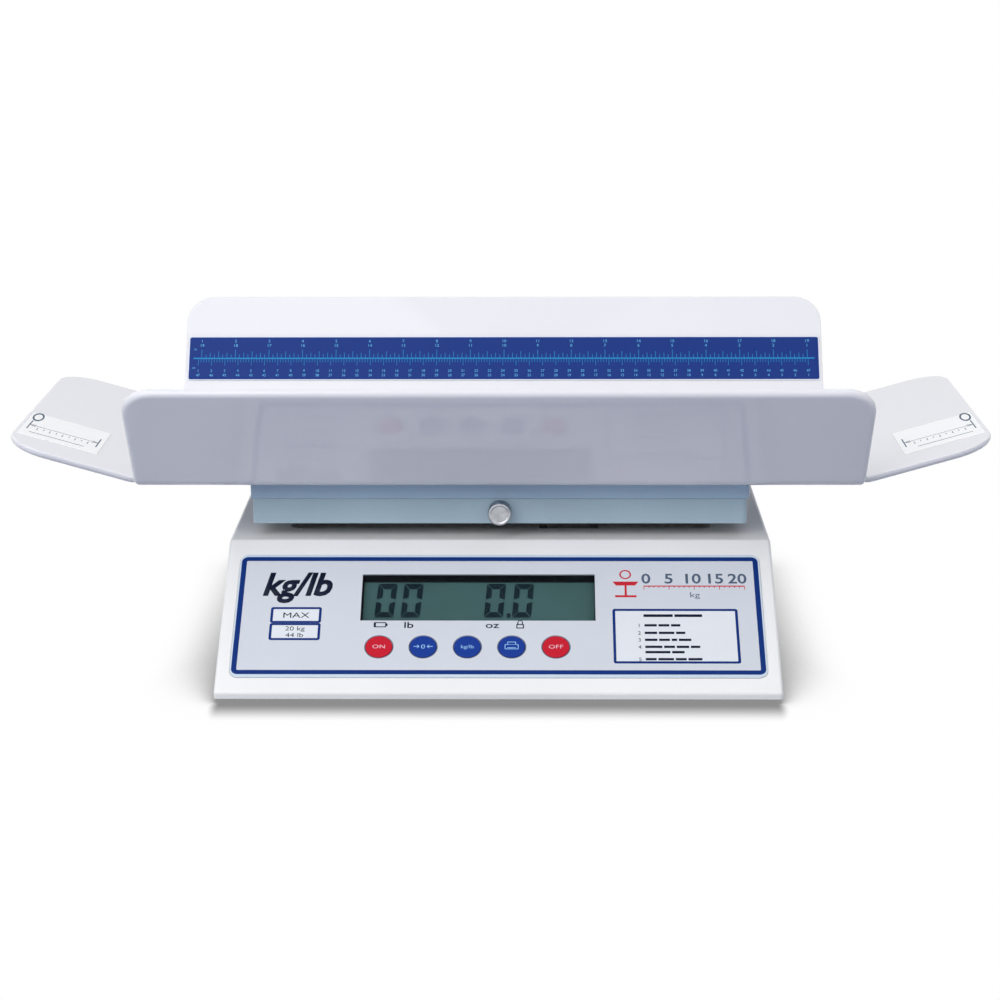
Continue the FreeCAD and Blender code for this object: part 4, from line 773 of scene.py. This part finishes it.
def rule_print():
    """Inches above and centimetres below one line, in a white margin."""
    plane = plane_on("ruler_label", "X", math.pi / 2 - TRAY_LEAN, LABEL_SHEET)
    left, top = -RULE_LENGTH / 2 + RULE_MARGIN, RULE_HEIGHT / 2 - RULE_MARGIN
    edge = Print()
    edge.ring(rounded(0, 0, RULE_LENGTH, RULE_HEIGHT, 2.0),
              rounded(0, 0, RULE_LENGTH - 2 * RULE_MARGIN, RULE_HEIGHT - 2 * RULE_MARGIN, 1.4))
    for name, shapes, material, lift in (
            ("rule_marks", rule_marks(left, top - RULE_LINE_DOWN),
             ink("cyan_ink", tone(40, 140, 200)), 0.03),
            ("rule_numbers", rule_numbers(left, top), ink("pale_cyan_ink", tone(96, 176, 224)),
             0.03),
            ("rule_margin", edge, film("rule_margin_film", tone(226, 232, 242)), 0.02)):
        shapes.lay(name, plane, "tray", "blue_rule", material, lift, 0.03)


def wing_print(name, side):
    """A line of length between two stops, with ticks below it and a ring in the corner."""
    plane = plane_on(name, "Y", WING_ANGLE if side < 0 else -WING_ANGLE, LABEL_SHEET)
    stop, level, arrow, ring_x, ring_y, ring_stretch = 24, -3, 23.6, 22.5, 20, 3
    lines = Print()
    lines.ring(*[[(x, ring_stretch * y - 2 * ring_y) for x, y in
                  round_points(side * ring_x, ring_y, radius)] for radius in (3.7, 2.6)])
    for end in (side, -side):
        lines.stroke((end * stop, 8), (end * stop, -14), 0.8)
    lines.stroke((side * stop, level), (-side * stop, level), 0.7)
    for end in (-1, 1):
        for up in (-1, 1):
            lines.stroke((end * arrow, level), (end * (arrow - 4), level + up * 2.2), 0.7)
    for index in range(-4, 5):
        x = index * 4.4
        lines.stroke((x, -6.5), (x, -9.5 if index % 2 else -12.0), 0.5)
    lines.stroke((side * 21, -20), (-side * 17, -20), 0.9)
    lines.lay(name + "_lines", plane, "tray", "white_label",
              ink("line_ink_" + name, tone(34, 66, 92)), 0.03, 0.03)


# ------------------------------------------------------------------ turned and driven hardware

SMOOTH_UP_TO = math.radians(32)


def lathe(profile, around=48):
    """A turned mesh about Z in mm.

    The profile gives radius and height, the radius perhaps as a function of the angle.
    """
    turned = bmesh.new()
    rings = []
    for radius, height in profile:
        ring = []
        for step in range(around):
            angle = 2 * math.pi * step / around
            reach = radius(angle) if callable(radius) else radius
            place = (reach * math.cos(angle), reach * math.sin(angle), height)
            ring.append(turned.verts.new(place))
        rings.append(ring)
    for lower, upper in zip(rings, rings[1:]):
        for step in range(around):
            after = (step + 1) % around
            turned.faces.new((lower[step], lower[after], upper[after], upper[step]))
    turned.faces.new(list(reversed(rings[0])))
    turned.faces.new(rings[-1])
    data = bpy.data.meshes.new("turned")
    turned.to_mesh(data)
    turned.free()
    return data


def stand_in(name, mesh, places, node, body, slot, material=None):
    """One object with a copy of the mesh at each place, in the stead of a CAD node."""
    whole = bmesh.new()
    for place in places:
        copy = mesh.copy()
        copy.transform(place @ Matrix.Scale(MM, 4))
        whole.from_mesh(copy)
        bpy.data.meshes.remove(copy)
    data = bpy.data.meshes.new(name)
    whole.to_mesh(data)
    whole.free()
    data.materials.append(material or MATERIALS[slot])
    data.set_sharp_from_angle(angle=SMOOTH_UP_TO)
    piece = added(name, data)
    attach(piece, body)
    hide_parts(node)


def threaded(radius, depth, pitch, height):
    """The radius at one height of a thread, as a function of the angle."""
    def reach(angle):
        turn = (height / pitch + angle / (2 * math.pi)) % 1
        return radius - depth * abs(2 * turn - 1)
    return reach


def thread_rings(radius, depth, pitch, low, high):
    """The profile of a thread, with six rings for each turn of it."""
    steps = max(2, round((high - low) / (pitch / 6)))
    heights = [low + (high - low) * step / steps for step in range(steps + 1)]
    return [(threaded(radius, depth, pitch, height), height) for height in heights]


def cross_cutter(reach, width, top, depth):
    """Two crossed blades that taper downwards from just over the head."""
    over, foot_share = 1, 0.5
    cutter = bmesh.new()
    for turn in (0, math.pi / 2):
        corners = []
        for height, share in ((top - depth, foot_share), (top + over, 1.0)):
            for across, along in ((-1, -1), (1, -1), (1, 1), (-1, 1)):
                point = Vector((across * reach * share,
                                along * width / 2 * (0.6 + 0.4 * share), height))
                corners.append(cutter.verts.new(Matrix.Rotation(turn, 3, "Z") @ point))
        cutter.faces.new(corners[3::-1])
        cutter.faces.new(corners[4:])
        for side in range(4):
            after = (side + 1) % 4
            cutter.faces.new((corners[side], corners[after], corners[4 + after],
                              corners[4 + side]))
    blades = bpy.data.meshes.new("cutter")
    cutter.to_mesh(blades)
    cutter.free()
    return blades


def cut_away(mesh, cutter):
    """A new mesh: the first without what the cutter takes."""
    blank, tool = added("blank", mesh), added("cutter", cutter)
    recess = blank.modifiers.new("recess", "BOOLEAN")
    recess.operation = "DIFFERENCE"
    recess.solver = "EXACT"
    recess.use_self = True
    recess.object = tool
    cut = evaluated_mesh(blank)
    for used in (blank, tool):
        bpy.data.objects.remove(used)
    return cut


def screw_mesh(radius, length, head_radius, head):
    """A pan-head screw with a thread and a cross recess, its head's seat at height 0."""
    tip, chamfer = 0.5, 0.25
    thread_depth, thread_pitch, thread_low, thread_high = 0.3, 0.9, 0.6 - length, -0.5
    profile = [(0.4 * radius, -length), (radius - chamfer, tip - length)]
    profile += thread_rings(radius, thread_depth, thread_pitch, thread_low, thread_high)
    profile += [(radius - 0.1, -0.3), (radius - 0.1, 0), (head_radius - 0.15, 0),
                (head_radius, 0.12)]
    for share in (0.35, 0.6, 0.8, 0.92, 0.98):
        profile.append((head_radius * math.sqrt(1 - 0.8 * share ** 4), head * share))
    profile.append((head_radius * 0.3, head))
    return cut_away(lathe(profile), cross_cutter(0.56 * head_radius, 0.26 * head_radius,
                                                 head, 0.75 * head))


def driven_screws(node, body, up, radius, length, head_radius, head):
    """Four screws in the corners of the node's box, each turned a little further."""
    low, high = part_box(node)
    inset = head_radius * MM
    seat = high.z - head * MM if up else low.z + head * MM
    flip = Matrix.Identity(4) if up else Matrix.Rotation(math.pi, 4, "X")
    places = []
    for column, x in enumerate((low.x + inset, high.x - inset)):
        for row, y in enumerate((low.y + inset, high.y - inset)):
            turn = Matrix.Rotation(0.4 + 0.9 * column + 1.7 * row, 4, "Z")
            places.append(Matrix.Translation((x, y, seat)) @ flip @ turn)
    stand_in("dressed_" + node, screw_mesh(radius, length, head_radius, head), places, node, body,
             "screw_steel")


def turned_face(name, colour, centre):
    """Steel faced on a lathe: fine rings and soft streaks round the centre, across Y."""
    ring_pitch = 0.5 * MM
    finish = Finish(name, metallic=1.0)
    place = finish.node("SeparateXYZ", {0: finish.place}).outputs
    across = finish.maths("SUBTRACT", place["X"], centre.x)
    above = finish.maths("SUBTRACT", place["Z"], centre.z)
    radius = finish.maths("SQRT", finish.maths("ADD", finish.maths("MULTIPLY", across, across),
                                               finish.maths("MULTIPLY", above, above)))
    angle = finish.maths("ARCTAN2", above, across)
    spiral = finish.maths("ADD", finish.maths("MULTIPLY", radius, 1 / ring_pitch),
                          finish.maths("DIVIDE", angle, 2 * math.pi))
    rings = finish.maths("PINGPONG", spiral, 0.5)
    streaks = finish.node("CombineXYZ", {0: finish.maths("COSINE", angle),
                                         1: finish.maths("SINE", angle),
                                         2: finish.maths("MULTIPLY", radius, 90.0)}).outputs[0]
    streak = finish.node("TexNoise", {"Vector": streaks, "Scale": 1.6,
                                      "Detail": 4.0}).outputs["Fac"]
    tint = finish.tinted(streak, colour, 0.7, 1.1)
    return finish.finished(
        finish.flecked(tint, rings, 0.3, scaled(colour, 0.75), 0.0, 0.5),
        finish.spread(streak, 0.28, 0.42),
        finish.bump(rings, 0.008 * MM))


def knurled(radius, height):
    """The radius at one height of a diamond knurl, as a function of the angle."""
    teeth, pitch, depth = 44, 1.1, 0.32

    def reach(angle):
        around, along = angle / (2 * math.pi) * teeth, height / pitch
        rising, falling = abs((around + along) % 1 - 0.5), abs((around - along) % 1 - 0.5)
        return radius - depth + 2 * depth * min(rising, falling)
    return reach


def knob():
    """The thumbscrew: a faced and dished knurled knob on a threaded shank."""
    radius, length, shank, reach = 7.9, 9.0, 2.5, 15.0
    thread_depth, thread_pitch, thread_low, thread_high = 0.35, 0.8, 0.6 - reach, -0.6
    dish, steps = 5.4, 19
    profile = [(shank - 0.8, -reach), (shank - 0.3, 0.5 - reach)]
    profile += thread_rings(shank, thread_depth, thread_pitch, thread_low, thread_high)
    profile += [(shank - 0.1, -0.4), (shank - 0.1, 0), (radius - 0.9, 0), (radius - 0.35, 0.5)]
    profile += [(knurled(radius, tenths / 10), tenths / 10) for tenths in range(8, 81, 3)]
    profile += [(radius - 0.35, length - 0.6), (radius - 0.8, length - 0.12),
                (radius - 1.0, length), (6.3, length), (6.05, length - 0.12),
                (5.7, length - 0.4), (dish, length - 0.5)]
    profile += [(dish - 0.25 * step, length - (0.5 if step % 2 else 0.53))
                for step in range(1, steps + 1)]
    low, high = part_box("thumbscrew")
    centre = Vector(((low.x + high.x) / 2, low.y, (low.z + high.z) / 2))
    place = (Matrix.Translation((centre.x, low.y + length * MM, centre.z))
             @ Matrix.Rotation(math.pi / 2, 4, "X"))
    stand_in("knob", lathe(profile, 176), [place], "thumbscrew", "thumbscrew", "turned_steel",
             turned_face("faced_steel", tone(186, 189, 194), centre))


# ------------------------------------------------------------------ studio

WHITE = (1, 1, 1, 1)
FLOOR_SIZE = 12
FLOOR_BOUNCE = (0.145, 0.178, 0.275, 1)     # colour of the light that the floor throws back
SHADE_REACH = 0.055
DARKEST_ROUND, DARKEST_UNDER = 0.28, 0.27
SHADE_FADE = 33 * MM
SIDE_SHARPNESS = 4.0        # how much sooner the shade ends beside the base than before it
WORLD_LIGHT, WORLD_STRENGTH = (0.93, 0.955, 1.0, 1), 0.62
LAMPS_AIM = (0, 0, 0.1)


def distance_from_base(shading, ground):
    """How far a point of the floor is from the base, sideways counted several times over."""
    low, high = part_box("top_housing")
    place = shading.node("SeparateXYZ", {0: ground["Position"]}).outputs
    sideways = shading.maths("SUBTRACT", shading.maths("ABSOLUTE", place["X"]), high.x - 4 * MM)
    beside = shading.maths("MAXIMUM", sideways, 0.0)
    ahead = shading.maths("SUBTRACT", low.y, place["Y"])
    behind = shading.maths("SUBTRACT", place["Y"], high.y)
    along = shading.maths("MAXIMUM", shading.maths("MAXIMUM", ahead, behind), 0.0)
    sharpened = shading.maths("MULTIPLY", beside, SIDE_SHARPNESS)
    return shading.maths("SQRT", shading.maths("ADD", shading.maths("POWER", sharpened, 2.0),
                                               shading.maths("POWER", along, 2.0)))


def floor_material():
    """White where it is seen, with a painted soft shadow round the base, and clear from below."""
    material = bpy.data.materials.new("studio_floor")
    material.use_nodes = True
    material.node_tree.nodes.clear()
    shading = Shading(material.node_tree)
    ground = shading.node("NewGeometry").outputs
    # painted shadow: the seen white is dimmed by occlusion and by the distance from the base's box
    near = shading.node("AmbientOcclusion", {"Distance": SHADE_REACH}, samples=16).outputs["AO"]
    painted_shade_round_base = shading.spread(near, DARKEST_ROUND, 1.0, 0.40, 0.99,
                                interpolation_type="SMOOTHSTEP")
    painted_shade_near_base = shading.spread(distance_from_base(shading, ground), DARKEST_UNDER, 1.0, 0.0, SHADE_FADE,
                          interpolation_type="SMOOTHSTEP")
    white = shading.node("Emission", {"Strength": shading.maths("MINIMUM", painted_shade_round_base, painted_shade_near_base)})
    lit = shading.node("BsdfDiffuse", {"Color": FLOOR_BOUNCE})
    above = shading.shader_mix(shading.seen(), lit.outputs[0], white.outputs[0])
    clear = shading.node("BsdfTransparent").outputs[0]
    surface = shading.shader_mix(ground["Backfacing"], above, clear)
    shading.node("OutputMaterial", {"Surface": surface})
    return material


def studio_floor():
    """The plain floor under the object."""
    bpy.ops.mesh.primitive_plane_add(size=FLOOR_SIZE, location=(0, 0, 0))
    floor = bpy.context.object
    floor.name = "studio_floor"
    floor.data.materials.append(floor_material())


def studio_world():
    """White where it is seen or mirrored, and an even, slightly blue light from everywhere."""
    world = bpy.data.worlds.new("studio")
    bpy.context.scene.world = world
    world.use_nodes = True
    world.node_tree.nodes.clear()
    shading = Shading(world.node_tree)
    light = shading.node("Background", {"Color": WORLD_LIGHT, "Strength": WORLD_STRENGTH})
    plain = shading.node("Background", {"Color": WHITE, "Strength": 1.0})
    mixed = shading.shader_mix(shading.seen(), light.outputs[0], plain.outputs[0])
    shading.node("OutputWorld", {"Surface": mixed})


def softbox(name, place, width, height, power):
    """A rectangular lamp, in metres and watts, that faces the middle of the object."""
    lamp = bpy.data.lights.new(name, "AREA")
    lamp.shape = "RECTANGLE"
    lamp.size = width
    lamp.size_y = height
    lamp.energy = power
    carrier = added(name, lamp)
    carrier.location = place
    direction = Vector(LAMPS_AIM) - Vector(place)
    carrier.rotation_euler = direction.to_track_quat("-Z", "Y").to_euler()


def studio_camera():
    """The photograph's place, direction and lens."""
    place, lens, sensor = (0.0218, -1.62227, 0.52174), 86.4, 36
    pitch, yaw, roll = math.radians(15.1), math.radians(-0.8), math.radians(-0.2)
    forward = Vector((math.sin(yaw) * math.cos(pitch), math.cos(yaw) * math.cos(pitch),
                      -math.sin(pitch)))
    level = Vector((math.cos(yaw), -math.sin(yaw), 0))
    rise = level.cross(forward)
    right = level * math.cos(roll) + rise * math.sin(roll)
    up = rise * math.cos(roll) - level * math.sin(roll)
    camera = added("camera", bpy.data.cameras.new("camera"))
    camera.data.sensor_width = sensor
    camera.data.lens = lens
    turn = Matrix((right, up, -forward)).transposed()
    camera.matrix_world = Matrix.Translation(place) @ turn.to_4x4()
    bpy.context.scene.camera = camera


studio_camera()
studio_floor()
studio_world()
softbox("left_softbox", (-1.12, -1.3, 1.6), 2.5, 1.9, 14)
softbox("right_softbox", (1.12, -1.3, 1.6), 2.5, 1.9, 7.5)
softbox("front_softbox", (-0.9, -2.0, 1.6), 1.2, 1.2, 12)
softbox("low_fill", (-1.5, -1.3, 0.75), 1.4, 0.9, 4)
dress_nodes()
overlay_print()
for key, key_place in KEYS.items():
    key_print(key, key_place)
display_print()
knob()
driven_screws("housing_screws", "base", up=False, radius=1.7, length=12, head_radius=3.2, head=1.8)
driven_screws("chassis_screws", "base", up=False, radius=1.7, length=6.5, head_radius=3.2, head=1.8)
driven_screws("platform_screws", "platform", up=True, radius=2, length=9, head_radius=4, head=1.2)
driven_screws("tray_screws", "tray", up=True, radius=2, length=11, head_radius=4, head=1.8)
rule_print()
wing_print("label_left", -1)
wing_print("label_right", 1)
bpy.context.scene.view_settings.view_transform = "Standard"
